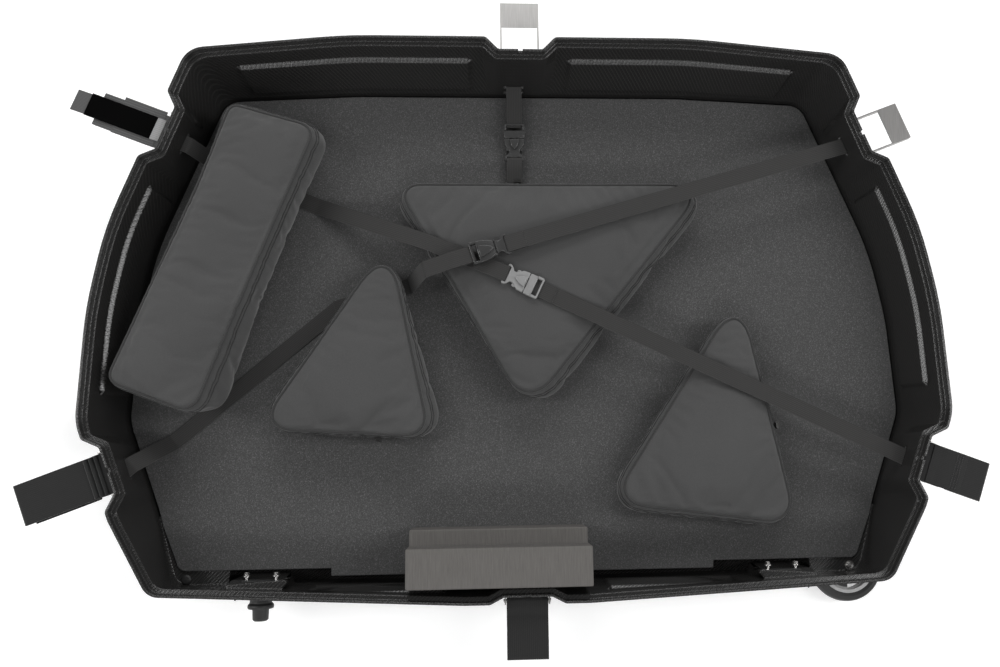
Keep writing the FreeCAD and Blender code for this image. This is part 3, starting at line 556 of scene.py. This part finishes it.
# %% Bag blanks
SIDE_IN, FOOT_HIGH, SHOULDER_LOW = 0.003, 0.014, 0.022
FOOT_STEPS = ((0.005, 0.004), (0.006, 0.0))
ZIP_STEP, SEAM_STEP = (0.0015, 0.016), (0.0045, 0.0065)
CROWN_STEPS = ((0.006, 0.0045), (0.012, 0.003))


def rounded_face(mesh, corners, radii, z):
    points = [mesh.verts.new((x, y, z)) for x, y in corners]
    mesh.faces.new(points)
    spots = [p.co.copy() for p in points]
    for i, point in enumerate(points):
        turn = (spots[i - 1] - spots[i]).angle(spots[(i + 1) % len(spots)] - spots[i])
        bmesh.ops.bevel(mesh, geom=[point], offset=radii[i] / math.tan(turn / 2), affect="VERTICES",
                        segments=10, profile=0.5, material=-1)
    return mesh.faces[:][0]


def cap_face(mesh, sign):
    mesh.faces.ensure_lookup_table()
    return max((f for f in mesh.faces if len(f.verts) > 8), key=lambda f: sign * f.calc_center_median().z)


def step_in(mesh, sign, inward, z):
    """Inset the highest or lowest face and set its new height; hand back its ring of points."""
    face = cap_face(mesh, sign)
    bmesh.ops.inset_region(mesh, faces=[face], thickness=inward, use_even_offset=True)
    face = cap_face(mesh, sign)
    bmesh.ops.translate(mesh, verts=face.verts, vec=(0, 0, z - face.calc_center_median().z))
    return [v.co.copy() for v in face.verts]


def bag_blank(corners, radii, low, top):
    mesh = bmesh.new()
    face = rounded_face(mesh, corners, radii, low + FOOT_HIGH)
    bmesh.ops.inset_region(mesh, faces=[face], thickness=SIDE_IN)
    face = cap_face(mesh, 1)
    bmesh.ops.delete(mesh, geom=[f for f in mesh.faces if f != face], context="FACES")
    drawn = bmesh.ops.extrude_face_region(mesh, geom=mesh.faces[:])
    verts = [g for g in drawn["geom"] if isinstance(g, bmesh.types.BMVert)]
    bmesh.ops.translate(mesh, verts=verts, vec=(0, 0, top - SHOULDER_LOW - low - FOOT_HIGH))
    for inward, above in FOOT_STEPS:
        step_in(mesh, -1, inward, low + above)
    zip_ring = step_in(mesh, 1, ZIP_STEP[0], top - ZIP_STEP[1])
    seam_ring = step_in(mesh, 1, SEAM_STEP[0], top - SEAM_STEP[1])
    for inward, below in CROWN_STEPS:
        step_in(mesh, 1, inward, top - below)
    bmesh.ops.recalc_face_normals(mesh, faces=mesh.faces)
    return mesh, seam_ring, zip_ring


print("steps from seam to crown:", len(CROWN_STEPS))

# %% [markdown]
# The blank is remeshed to small even faces and blown up as cloth. The seam ring and the underside are
# sewn down, so the panels crown between them and pucker a little where the cloth has room to spare.

# %% Swelling the cloth
SWELL_FRAMES = 20


def remeshed(name, mesh, size):
    data = bpy.data.meshes.new(name)
    mesh.to_mesh(data)
    mesh.free()
    rough = bpy.data.objects.new(name + "_blank", data)
    scene.collection.objects.link(rough)
    modify(rough, "REMESH", mode="VOXEL", voxel_size=size)
    graph = bpy.context.evaluated_depsgraph_get()
    made = bpy.data.meshes.new_from_object(rough.evaluated_get(graph))
    bpy.data.objects.remove(rough)
    return made


def swell(data, sewn, cap, press, spare, stiff):
    """Blow a mesh up as cloth about its sewn points and cap how far any point moves."""
    piece = bpy.data.objects.new("swelling", data)
    scene.collection.objects.link(piece)
    piece.vertex_groups.new(name="sewn").add(sewn, 1.0, "REPLACE")
    sim = piece.modifiers.new("swelling", "CLOTH")
    sim.settings.quality = 5
    sim.settings.mass = 0.3
    sim.settings.tension_stiffness = 15
    sim.settings.compression_stiffness = 15
    sim.settings.shear_stiffness = 5
    sim.settings.bending_stiffness = stiff
    sim.settings.vertex_group_mass = "sewn"
    sim.settings.shrink_min = -spare
    sim.settings.use_pressure = True
    sim.settings.uniform_pressure_force = press
    sim.settings.effector_weights.gravity = 0
    sim.collision_settings.use_collision = False
    for frame_number in range(1, SWELL_FRAMES + 1):
        scene.frame_set(frame_number)
    graph = bpy.context.evaluated_depsgraph_get()
    moved = [v.co.copy() for v in piece.evaluated_get(graph).data.vertices]
    piece.modifiers.remove(sim)
    for vert, target in zip(data.vertices, moved):
        step = target - vert.co
        vert.co += step * min(1.0, cap / max(step.length, 1e-9))
    bpy.data.objects.remove(piece)
    scene.frame_set(1)


print("frames of swelling:", SWELL_FRAMES)

# %% [markdown]
# Piping and zip lines run round each bag. A ring of points is walked in even steps and becomes a curve
# with a round bevel, which is then kept as a mesh so that it can ride like any other piece.

# %% Walking round a ring
def walked(points, step):
    """Points at even steps round a ring of points."""
    ring = points + points[:1]
    legs = [(b - a).length for a, b in zip(ring, ring[1:])]
    count = max(2, round(sum(legs) / step))
    result = []
    for i in range(count):
        left = sum(legs) * i / count
        for a, b, leg in zip(ring, ring[1:], legs):
            if left <= leg or b is ring[-1] and left <= leg * 1.001:
                result.append(a.lerp(b, min(1.0, left / max(leg, 1e-9))))
                break
            left -= leg
    return result


def tube(name, points, radius, finish, body):
    """A round cord sewn along a ring of points, made from a curve and kept as a mesh."""
    line = bpy.data.curves.new(name, "CURVE")
    line.dimensions = "3D"
    line.bevel_depth = radius
    line.bevel_resolution = 2
    line.use_fill_caps = True
    spline = line.splines.new("POLY")
    spline.points.add(len(points) - 1)
    for spot, point in zip(spline.points, points):
        spot.co = (*point, 1.0)
    spline.use_cyclic_u = True
    carrier = bpy.data.objects.new(name + "_line", line)
    data = bpy.data.meshes.new_from_object(carrier)
    bpy.data.objects.remove(carrier)
    return place_piece(name, data, finish, body, ())


print("steps round a ring of 1 m:", len(walked([Vector((0, 0, 0)), Vector((0.5, 0, 0))], 0.1)))

# %% [markdown]
# A packed bag is no straight prism. Each corner has two shifts in plan, one for its belly at half
# height and one for its crown, and a point moves with the corners that are near it.

# %% Belly and lean of a packed bag
CORNER_REACH = 0.02


def leaned(point, corners, belly, crown, low, top):
    """A point moved with the corners near it: first towards the belly, then towards the crown."""
    share = min(1.0, max(0.0, (point.z - low) / (top - low)))
    pull = [1.0 / ((point.xy - Vector(c)).length + CORNER_REACH) ** 2 for c in corners]
    shift = Vector((0, 0))
    for weight, half_way, full in zip(pull, belly, crown):
        half_way, full = Vector(half_way), Vector(full)
        step = half_way * (2 * share) if share < 0.5 else half_way.lerp(full, 2 * share - 1)
        shift += step * (weight / sum(pull))
    return point + Vector((shift.x, shift.y, 0))


print("a corner's reach:", CORNER_REACH)

# %% [markdown]
# The four bags share one recipe: blank, lean, remesh, swell, and then piping and two zip lines laid on the
# swollen skin. Each row gives the body, the corners and their radii, the heights of foot and top, and the
# shifts of belly and crown at each corner.

# %% Four packing bags
VOXEL, SEAM_WALK, ZIP_WALK = 0.005, 0.006, 0.008
PIPING_RADIUS, ZIP_RADIUS, ZIP_DROP = 0.0021, 0.0011, 0.006
bag_shapes = {
    "long_bag": ("long_bag", [(-0.455, 0.330), (-0.322, 0.298), (-0.468, -0.130), (-0.602, -0.098)],
                 (0.020, 0.028, 0.034, 0.024), 0.0428, 0.140,
                 ((0.003, 0), (0.026, -0.010), (0.016, -0.018), (-0.008, -0.004)),
                 ((0.010, -0.001), (0.017, -0.008), (-0.011, -0.028), (-0.015, -0.008))),
    "rear_bag": ("rear_bag", [(-0.208, 0.119), (-0.135, -0.190), (-0.409, -0.172)],
                 (0.038, 0.036, 0.036), 0.0428, 0.108,
                 ((0.004, 0.002), (0.016, 0.003), (0, 0.003)),
                 ((0.006, 0.010), (-0.002, -0.004), (0, -0.006))),
    "frame_bag": ("case", [(-0.207, 0.214), (0.306, 0.214), (0.012, -0.155)],
                  (0.030, 0.036, 0.048), 0.041, 0.105,
                  ((-0.004, -0.006), (0.012, -0.006), (0.008, -0.006)),
                  ((0, 0), (0, 0), (-0.012, -0.004))),
    "fork_bag": ("case", [(0.352, 0.039), (0.425, -0.334), (0.122, -0.292)],
                 (0.038, 0.040, 0.040), 0.041, 0.098,
                 ((-0.005, 0.004), (-0.005, 0), (-0.006, -0.004)),
                 ((-0.008, 0.008), (-0.004, 0.002), (-0.004, 0))),
}


def seam_finder(seam):
    """A tree that finds the nearest point of a seam, which it holds as thin triangles."""
    count = len(seam)
    raised = [p + Vector((0, 0, 0.0001)) for p in seam]
    return BVHTree.FromPolygons(seam + raised, [(i, (i + 1) % count, count + i) for i in range(count)])


def on_skin(skin, points, lift):
    """The points moved onto a skin and lifted off it a little."""
    found = [skin.find_nearest(p)[:2] for p in points]
    return [spot + normal * lift for spot, normal in found]


for name, (body, corners, radii, low, top, belly, crown) in bag_shapes.items():
    blank, seam_ring, zip_ring = bag_blank(corners, radii, low, top)
    seam_ring = [leaned(p, corners, belly, crown, low, top) for p in seam_ring]
    zip_ring = [leaned(p, corners, belly, crown, low, top) for p in zip_ring]
    seam = walked(seam_ring, SEAM_WALK)
    data = remeshed(name, blank, VOXEL)
    for vert in data.vertices:
        vert.co = leaned(vert.co, corners, belly, crown, low, top)
    near = seam_finder(seam)
    sewn = [v.index for v in data.vertices if v.co.z < low + 0.006 or near.find_nearest(v.co, VOXEL)[0]]
    swell(data, sewn, cap=0.009, press=4.0, spare=0.03, stiff=0.25)
    bag_piece = place_piece(name + "_cover", data, bag_cloth, body, [name])
    modify(bag_piece, "SUBSURF", levels=1, render_levels=1)
    skin = BVHTree.FromPolygons([v.co for v in data.vertices], [p.vertices[:] for p in data.polygons])
    tube(name + "_piping", on_skin(skin, seam, 0.0006), PIPING_RADIUS, piping_cloth, body)
    lower_line = [p - Vector((0, 0, ZIP_DROP)) for p in zip_ring]
    for label, ring in (("_zip_upper", zip_ring), ("_zip_lower", lower_line)):
        line = on_skin(skin, walked(ring, ZIP_WALK), 0.0002)
        tube(name + label, line, ZIP_RADIUS, piping_cloth, body)
    print(name, "faces:", len(data.polygons))

# %% [markdown]
# Webbing is a flat tape. One short edge is drawn across it and extruded along its route, so each face
# knows how far along the tape it lies, and that becomes its UV for the woven ribs.

# %% Webbing helper
UP = Vector((0, 0, 1))


def eased(path, reach):
    """The route with each corner split in three, so that a subdivided tape bends softly and near it."""
    line = [path[0]]
    for before, spot, after in zip(path, path[1:], path[2:]):
        back = min(reach, (before - spot).length * 0.4)
        ahead = min(reach, (after - spot).length * 0.4)
        line += [spot + (before - spot).normalized() * back, spot, spot + (after - spot).normalized() * ahead]
    return line + [path[-1]]


def tape_mesh(path, across, width, reach=0.01, run=0.04):
    """A strip of faces along a route, with its UV in shares across and metres along."""
    line = eased(path, reach)
    dense = [line[0]]
    for a, b in zip(line, line[1:]):
        parts = max(1, math.ceil((b - a).length / run))
        dense += [a.lerp(b, i / parts) for i in range(1, parts + 1)]
    mesh = bmesh.new()
    layer = mesh.loops.layers.uv.new("UVMap")
    ends = [mesh.verts.new(dense[0] + across * (width * share)) for share in (-0.5, 0.5)]
    edge = mesh.edges.new(ends)
    place = {ends[0]: (0.0, 0.0), ends[1]: (1.0, 0.0)}
    gone = 0.0
    for a, b in zip(dense, dense[1:]):
        gone += (b - a).length
        drawn = bmesh.ops.extrude_edge_only(mesh, edges=[edge])["geom"]
        fresh = [g for g in drawn if isinstance(g, bmesh.types.BMVert)]
        bmesh.ops.translate(mesh, verts=fresh, vec=b - a)
        edge = next(g for g in drawn if isinstance(g, bmesh.types.BMEdge) and set(g.verts) == set(fresh))
        for vert in fresh:
            place[vert] = (0.0 if (vert.co - b).dot(across) < 0 else 1.0, gone)
    for face in mesh.faces:
        for loop in face.loops:
            loop[layer].uv = place[loop.vert]
    return mesh


def webbing(name, path, across, width, thick, finish, body, nodes=(), slot="webbing", reach=0.01):
    piece = settle(name, tape_mesh(path, across, width, reach), finish, body, nodes, slot)
    modify(piece, "SUBSURF", levels=2, render_levels=2, boundary_smooth="PRESERVE_CORNERS")
    modify(piece, "SOLIDIFY", thickness=thick, offset=0.0)
    soften(piece, thick * 0.24, 2)
    return piece


def stitches(name, start, way, rise, count, pitch, finish, body, length=0.0032, slot="webbing"):
    """A row of thread stitches: small round beads pressed flat along a way."""
    mesh = bmesh.new()
    side = rise.cross(way)
    for i in range(count):
        bead = bmesh.ops.create_icosphere(mesh, subdivisions=1, radius=1.0)["verts"]
        turn = Matrix((way, side, rise)).transposed().to_4x4()
        shape = Matrix.Diagonal((length / 2, 0.0006, 0.0005, 1.0))
        spot = Matrix.Translation(start + way * (pitch * i))
        bmesh.ops.transform(mesh, matrix=spot @ turn @ shape, verts=bead)
    return settle(name, mesh, finish, body, (), slot)


print("webbing is made by:", webbing.__name__)

# %% [markdown]
# Each cross strap comes in two halves. The running half leaves its buckle, rises to a slot high in the
# wall and ends in a folded stop behind it. The fixed half comes from the opposite wall, dives under a
# bag along the foam and climbs to the buckle's bar.

# %% Running halves of the cross straps
buckles = {
    "a": (Vector((-0.048, 0.096, 0.126)), Vector((0.95469, 0.29316, -0.05128)),
          Vector((0.51987, 0.27038, 0.1)), "cross_strap_a"),
    "b": (Vector((0.0, 0.048, 0.1135)), Vector((0.90503, -0.42443, -0.02793)),
          Vector((0.58332, -0.22556, 0.1)), "cross_strap_b"),
    "top": (Vector((-0.008, 0.292, 0.052)), Vector((0.0, 0.99651, 0.08342)),
            Vector((-0.008, 0.3816, 0.064)), "top_strap"),
}
TAPE, TAPE_THICK = 0.025, 0.0016
HORN_BAR = (0.0234, 0.0045)
FRAME_BAR = (0.0258, 0.0029)
WALL_PAST_SLOT, LONGEST_TAIL = 0.0065, 0.058


def buckle_frame(base, way):
    """A buckle's own axes: x along its strap, y across it and z up from it."""
    side = UP.cross(way).normalized()
    return Matrix.Translation(base) @ Matrix((way, side, way.cross(side))).transposed().to_4x4()


for name, (base, way, slot_spot, body) in buckles.items():
    frame_of = buckle_frame(base, way)
    side = UP.cross(way).normalized()
    reach = (slot_spot - base).length
    stop = reach + WALL_PAST_SLOT
    far = min(LONGEST_TAIL, reach / 2.3)
    turn, gap = HORN_BAR if name == "a" else FRAME_BAR
    round_bar = [(far, -gap), (turn + 0.003, -gap), (turn, -gap * 0.6), (turn, gap * 0.6),
                 (turn + 0.003, gap)]
    folded_stop = [(stop + 0.006, 0.0045), (stop + 0.0075, 0.0065), (stop + 0.005, 0.0075),
                   (stop - 0.0005, 0.0072)]
    path = [frame_of @ Vector((x, 0, z)) for x, z in round_bar + folded_stop]
    webbing("strap_%s_running" % name, path, side, TAPE, TAPE_THICK, strap_webbing, body,
            ["strap_%s_plug" % name], reach=0.003)
    if name != "top":
        start_at = frame_of @ Vector((far - 0.004, -0.0105, 0.0054))
        stitches("strap_%s_tack" % name, start_at, side, way.cross(side), 8, 0.003, piping_cloth, body,
                 0.0026)
print("running halves:", len(buckles))

# %% [markdown]
# A fixed half lies in one upright plane, so its route is a list of lengths along that plane and heights.
# Strap a bends where it goes under the rear bag, so it is made of two tapes. The top strap is short: it
# folds back on itself below its buckle and ends behind the wall.

# %% Fixed halves of the cross straps
FOAM_TOP = 0.0411
FOLD_END = [(-0.012, 0.1030), (-0.0185, 0.1025), (-0.0195, 0.1010), (-0.018, 0.100)]


def fixed_half(name, start, spot, steps, body_nodes):
    """A strap in the upright plane from a wall slot to a bar: steps are lengths along it and heights."""
    way = Vector((spot.x - start.x, spot.y - start.y, 0))
    across = UP.cross(way.normalized())
    path = [Vector((start.x, start.y, 0)) + way.normalized() * d + UP * z for d, z in steps]
    return webbing(name, path, across, TAPE, TAPE_THICK, strap_webbing, "case", body_nodes, reach=0.006)


def climb(length, height, crest, gap=HORN_BAR[1]):
    """The last steps of a fixed half, up to its bar, over it and back underneath."""
    return [(length - crest, height - 0.004), (length - 0.034, height + gap), (length - 0.0032, height + gap),
            (length + 0.0009, height + gap * 0.62), (length + 0.0009, height - gap * 0.62),
            (length - 0.0032, height - gap), (length - 0.024, height - gap)]


slot_b, bar_b = Vector((-0.51987, 0.27038, 0)), Vector((-0.02398, 0.05925, 0.11424))
run_b = (bar_b.xy - slot_b.xy).length
dive_b = [(0.008, 0.1), (0.042, FOAM_TOP), (0.212, FOAM_TOP)]
fixed_half("strap_b_fixed", slot_b, bar_b, FOLD_END + dive_b + climb(run_b, bar_b.z, 0.136),
           ["strap_b_socket"])

slot_a, turn_a = Vector((-0.58332, -0.22556, 0)), Vector((-0.2903, 0.0216, 0))
bar_a = Vector((-0.0752, 0.08764, 0.12746))
lead_a = (turn_a - slot_a).length
dive_a = [(0.008, 0.1), (0.060, FOAM_TOP), (lead_a - 0.02, FOAM_TOP), (lead_a, FOAM_TOP)]
fixed_half("strap_a_fixed", slot_a, turn_a, FOLD_END + dive_a, ["strap_a_socket"])
run_a = (bar_a.xy - turn_a.xy).length
under_a = [(-0.006, FOAM_TOP + 0.0004), (0.118, FOAM_TOP)]
fixed_half("strap_a_under", turn_a, bar_a, under_a + climb(run_a, bar_a.z, 0.078, FRAME_BAR[1]), [])

bar_t, wall_y, fold_y, low_slot = Vector((-0.008, 0.26559, 0.04979)), 0.37891, 0.222, 0.05
round_bar = [(bar_t.y - 0.024, bar_t.z - 0.0045), (bar_t.y - 0.0032, bar_t.z - 0.0045),
             (bar_t.y + 0.0009, bar_t.z - 0.0028), (bar_t.y + 0.0009, bar_t.z + 0.0028),
             (bar_t.y - 0.0032, bar_t.z + 0.0045)]
fold_back = [(fold_y + 0.005, FOAM_TOP + 0.0075), (fold_y + 0.001, FOAM_TOP + 0.0056),
             (fold_y, FOAM_TOP + 0.0032), (fold_y + 0.0015, FOAM_TOP + 0.0008), (fold_y + 0.005, FOAM_TOP)]
through_wall = [(wall_y - 0.040, FOAM_TOP), (wall_y - 0.008, low_slot), (wall_y + 0.0125, low_slot),
                (wall_y + 0.0135, low_slot + 0.002), (wall_y + 0.011, low_slot + 0.003),
                (wall_y + 0.006, low_slot + 0.003)]
path = [Vector((bar_t.x, y, z)) for y, z in round_bar + fold_back + through_wall]
webbing("strap_top_fixed", path, Vector((1, 0, 0)), TAPE, TAPE_THICK, strap_webbing, "case",
        ["strap_top_socket"], reach=0.003)
print("run of strap a, run of strap b:", round(run_a, 3), round(run_b, 3))

# %% [markdown]
# A plug buckle is moulded: a body with a raised cone, a narrow waist where the sprung arms show, two
# horns at one end and an open frame at the other. Each part is an outline that is extruded and bevelled.

# %% Buckle parts
def slab(mesh, outline, low, high, edge):
    """Extrude a flat outline from one height to another and round its edges."""
    verts = [mesh.verts.new((x, y, low)) for x, y in outline]
    face = mesh.faces.new(verts)
    drawn = bmesh.ops.extrude_face_region(mesh, geom=[face])["geom"]
    raised = [g for g in drawn if isinstance(g, bmesh.types.BMVert)]
    bmesh.ops.translate(mesh, verts=raised, vec=(0, 0, high - low))
    whole = verts + raised
    edges = {e for v in whole for e in v.link_edges}
    bmesh.ops.bevel(mesh, geom=list(edges), offset=edge, affect="EDGES", segments=3, profile=0.5, material=-1,
                    clamp_overlap=True)


def both_sides(half):
    return half + [(x, -y) for x, y in reversed(half)]


def bar(mesh, x0, x1, y0, y1, low, high, edge=0.0009):
    slab(mesh, [(x0, y0), (x1, y0), (x1, y1), (x0, y1)], low, high, edge)


def horned_half(mesh, x_of, rest):
    """The horns and waist, then the rest of the outline; x_of turns a distance from the end into an x."""
    waist = [(0.0078, 0.0128), (0.0105, 0.0110), (0.0130, 0.0093), (0.0160, 0.0084), (0.0195, 0.0092)]
    slab(mesh, [(x_of(d), y) for d, y in both_sides(waist + rest)], -0.0046, 0.0046, 0.0009)
    for sign in (1, -1):
        horn = [(0.0024, 0.0132), (0.0022, 0.0152), (0.0038, 0.0162), (0.0070, 0.0160), (0.0105, 0.0134),
                (0.0130, 0.0102), (0.0130, 0.0080), (0.0086, 0.0090), (0.0076, 0.0128)]
        slab(mesh, [(x_of(d), y * sign) for d, y in horn], -0.0040, 0.0045, 0.0007)
    bar(mesh, x_of(0.0018), x_of(0.0044), -0.0150, 0.0150, -0.0030, 0.0030)


def bridge_line(length):
    """The outline of the bridge over the webbing: a U that is open towards the buckle's body."""
    outer = [(length, 0.0170), (0.002, 0.0170), (0.0, 0.0150)]
    inner = [(length, -0.0136), (0.0028, -0.0136), (0.0028, 0.0136), (length, 0.0136)]
    return both_sides(outer) + inner


def framed_half(mesh, x_of, length):
    """The open frame for the webbing at the buckle's other end."""
    for sign in (1, -1):
        rail = [(0.0, 0.0134), (0.0, 0.0155), (0.002, 0.0170), (length, 0.0170), (length, 0.0134)]
        slab(mesh, [(x_of(d), y * sign) for d, y in rail], -0.0040, 0.0040, 0.0009)
    bar(mesh, x_of(0.0), x_of(0.0030), -0.0150, 0.0150, -0.0018, 0.0018)
    slab(mesh, [(x_of(d), y) for d, y in bridge_line(length)], 0.0039, 0.0062, 0.0007)


def cone(mesh, x_narrow, x_wide, reach, high):
    """The raised cone of the body: a slab that runs to a narrow end."""
    x_middle = x_narrow + (x_wide - x_narrow) * 0.35
    outline = both_sides([(x_narrow, 0.0012), (x_middle, reach * 0.62), (x_wide, reach)])
    slab(mesh, outline, 0.0035, high, 0.0011)


def finish_buckle(name, mesh, frame_of, finish, body, node):
    bmesh.ops.recalc_face_normals(mesh, faces=mesh.faces)
    bmesh.ops.transform(mesh, matrix=frame_of, verts=mesh.verts)
    return settle(name, mesh, finish, body, [node], "buckle_plastic")


print("buckle parts:", horned_half.__name__, framed_half.__name__, cone.__name__)

# %% [markdown]
# Buckle a is threaded the other way round from the other two: its frame is on the socket and its horns
# are on the plug. The socket stays on the case, and the plug leaves with its strap.

# %% Three buckles
SOCKET_END, PLUG_END = -0.032, 0.030
ARM = [(0.008, 0.0088), (0.008, 0.0125), (-0.006, 0.0126), (-0.0105, 0.0142), (-0.0135, 0.0128),
       (-0.0138, 0.0096)]
buckle_finish = {"a": buckle_plastic, "b": grey_plastic, "top": satin_plastic}


def from_socket(d):
    return SOCKET_END + d


def from_plug(d):
    return PLUG_END - d


for name, (base, way, slot_spot, body) in buckles.items():
    frame_of = buckle_frame(base, way)
    socket, plug = bmesh.new(), bmesh.new()
    if name == "a":
        framed_half(socket, from_socket, 0.0115)
        mouth = [(-0.0215, 0.0168), (-0.012, 0.0166), (-0.004, 0.0150), (0.0055, 0.0112)]
        slab(socket, both_sides(mouth), -0.0052, 0.0052, 0.0013)
        cone(socket, 0.0035, -0.0195, 0.0098, 0.0084)
        horned_half(plug, from_plug, [(0.0225, 0.0108)])
    else:
        horned_half(socket, from_socket, [(0.0236, 0.0122), (0.0274, 0.0155), (0.038, 0.0165)])
        cone(socket, -0.0125, 0.0048, 0.0085, 0.0084)
        framed_half(plug, from_plug, 0.0110)
        slab(plug, both_sides([(0.0070, 0.0165), (0.0195, 0.0168)]), -0.0040, 0.0042, 0.0012)
    for sign in (1, -1):
        slab(plug, [(x, y * sign) for x, y in ARM], -0.0026, 0.0028, 0.0007)
    finish = buckle_finish[name]
    finish_buckle("buckle_%s_body" % name, socket, frame_of, finish, "case", "buckle_%s_socket" % name)
    finish_buckle("buckle_%s_prongs" % name, plug, frame_of, finish, body, "buckle_%s_plug" % name)
print("buckles:", len(buckles))

# %% [markdown]
# The rim closures are wide woven straps that loop round a pin, run outwards and fold back. The upper
# left one is a pack of layers with a black hook band, a grey tongue and a pale tab by the rim.

# %% Closure straps
closures = {
    "lower_left": (Vector((-0.60083, -0.23206, 0.12109)), Vector((-0.93743, -0.34819, 0)),
                   0.128, 0.070, 0.046, 0.060),
    "lower_right": (Vector((0.60083, -0.23206, 0.12109)), Vector((0.93743, -0.34819, 0)),
                    0.098, 0.052, 0.036, 0.060),
    "bottom": (Vector((0.0, -0.42444, 0.12116)), Vector((0, -1, 0)), 0.080, 0.036, 0.036, 0.060),
    "upper_left": (Vector((-0.5386, 0.27761, 0.12005)), Vector((-0.93282, 0.36033, 0)),
                   0.108, 0.060, 0.040, 0.052),
}
LOOP_ROUND, HALF_GAP, CLOSURE_THICK = 0.0044, 0.0017, 0.0024
half_turn = [(-LOOP_ROUND * math.sin(k * math.pi / 4), -LOOP_ROUND * math.cos(k * math.pi / 4))
             for k in range(5)]


def closure_tape(name, label, steps, width, thick, finish, nodes=(), slot="closure_webbing", shift=0.0,
                 reach=0.004):
    """A tape on a closure's pin: steps are lengths outwards from the pin and heights above it."""
    pin, out = closures[name][:2]
    across = UP.cross(out)
    path = [pin + out * d + UP * z + across * shift for d, z in steps]
    return webbing("closure_%s_%s" % (name, label), path, across, width, thick, finish, "closure_" + name,
                   nodes, slot, reach)


for name, (pin, out, far, back, tail, width) in closures.items():
    steps = [(tail, -HALF_GAP), (0.020, -HALF_GAP), (0.009, -LOOP_ROUND)] + half_turn
    steps += [(0.009, LOOP_ROUND), (0.020, HALF_GAP), (far * 0.6, HALF_GAP + 0.0008), (far, HALF_GAP),
              (far + 0.0024, 0.0), (far, -HALF_GAP), (far - back, -HALF_GAP)]
    main_finish = tongue_webbing if name == "upper_left" else closure_webbing
    closure_tape(name, "strap", steps, width, CLOSURE_THICK, main_finish, ["closure_strap_" + name])
print("closure straps:", len(closures))

# %% [markdown]
# A closure in use is bunched and layered. The lower left one has three small folds by the rim and a layer
# beneath, the upper left one a near layer, a hook band, a tongue and a tab, and the lower right one a
# short layer that three rows of stitches hold down.

# %% Layers and folds on the closures
FOLDS, FOLD_PITCH, ROWS, ROW_PITCH = 3, 0.0078, 3, 0.0042
for k in range(FOLDS):
    d = 0.006 + FOLD_PITCH * k
    fold = [(d, 0.0035), (d + 0.001, 0.0068), (d + 0.0042, 0.0072), (d + 0.0062, 0.0040)]
    closure_tape("lower_left", "fold_%d" % k, fold, 0.0585, 0.0016, closure_webbing, reach=0.002)
closure_tape("lower_left", "under", [(0.022, -0.0048), (0.07, -0.0052), (0.118, -0.0046)], 0.0585, 0.0016,
             closure_webbing, shift=0.0028)
closure_tape("upper_left", "layer_near", [(0.010, 0.0052), (0.024, 0.0042), (0.078, 0.0042)], 0.0590, 0.0012,
             tongue_webbing, shift=-0.0012)
closure_tape("upper_left", "hook", [(0.020, 0.0062), (0.060, 0.0060), (0.126, 0.0050)], 0.036, 0.0014,
             hook_pile, ["hook_band_upper_left"], "hook_fabric")
closure_tape("upper_left", "tongue", [(0.118, 0.0036), (0.130, 0.0034), (0.150, 0.0012)], 0.0335, 0.0014,
             tongue_webbing)
closure_tape("upper_left", "tab", [(0.006, 0.0062), (0.012, 0.0067), (0.020, 0.0054)], 0.035, 0.0012,
             tab_webbing)
closure_tape("lower_right", "layer", [(0.010, 0.0062), (0.024, 0.0046), (0.060, 0.0044), (0.066, 0.0036)],
             0.0575, 0.0014, closure_webbing)
pin, out = closures["lower_right"][:2]
for k in range(ROWS):
    spot = pin + out * (0.049 + ROW_PITCH * k) + UP * 0.0054 - UP.cross(out) * 0.0245
    stitches("closure_lower_right_row_%d" % k, spot, UP.cross(out), UP, 15, 0.0035, piping_cloth,
             "closure_lower_right", slot="closure_webbing")
print("folds, rows of stitches:", FOLDS, ROWS)
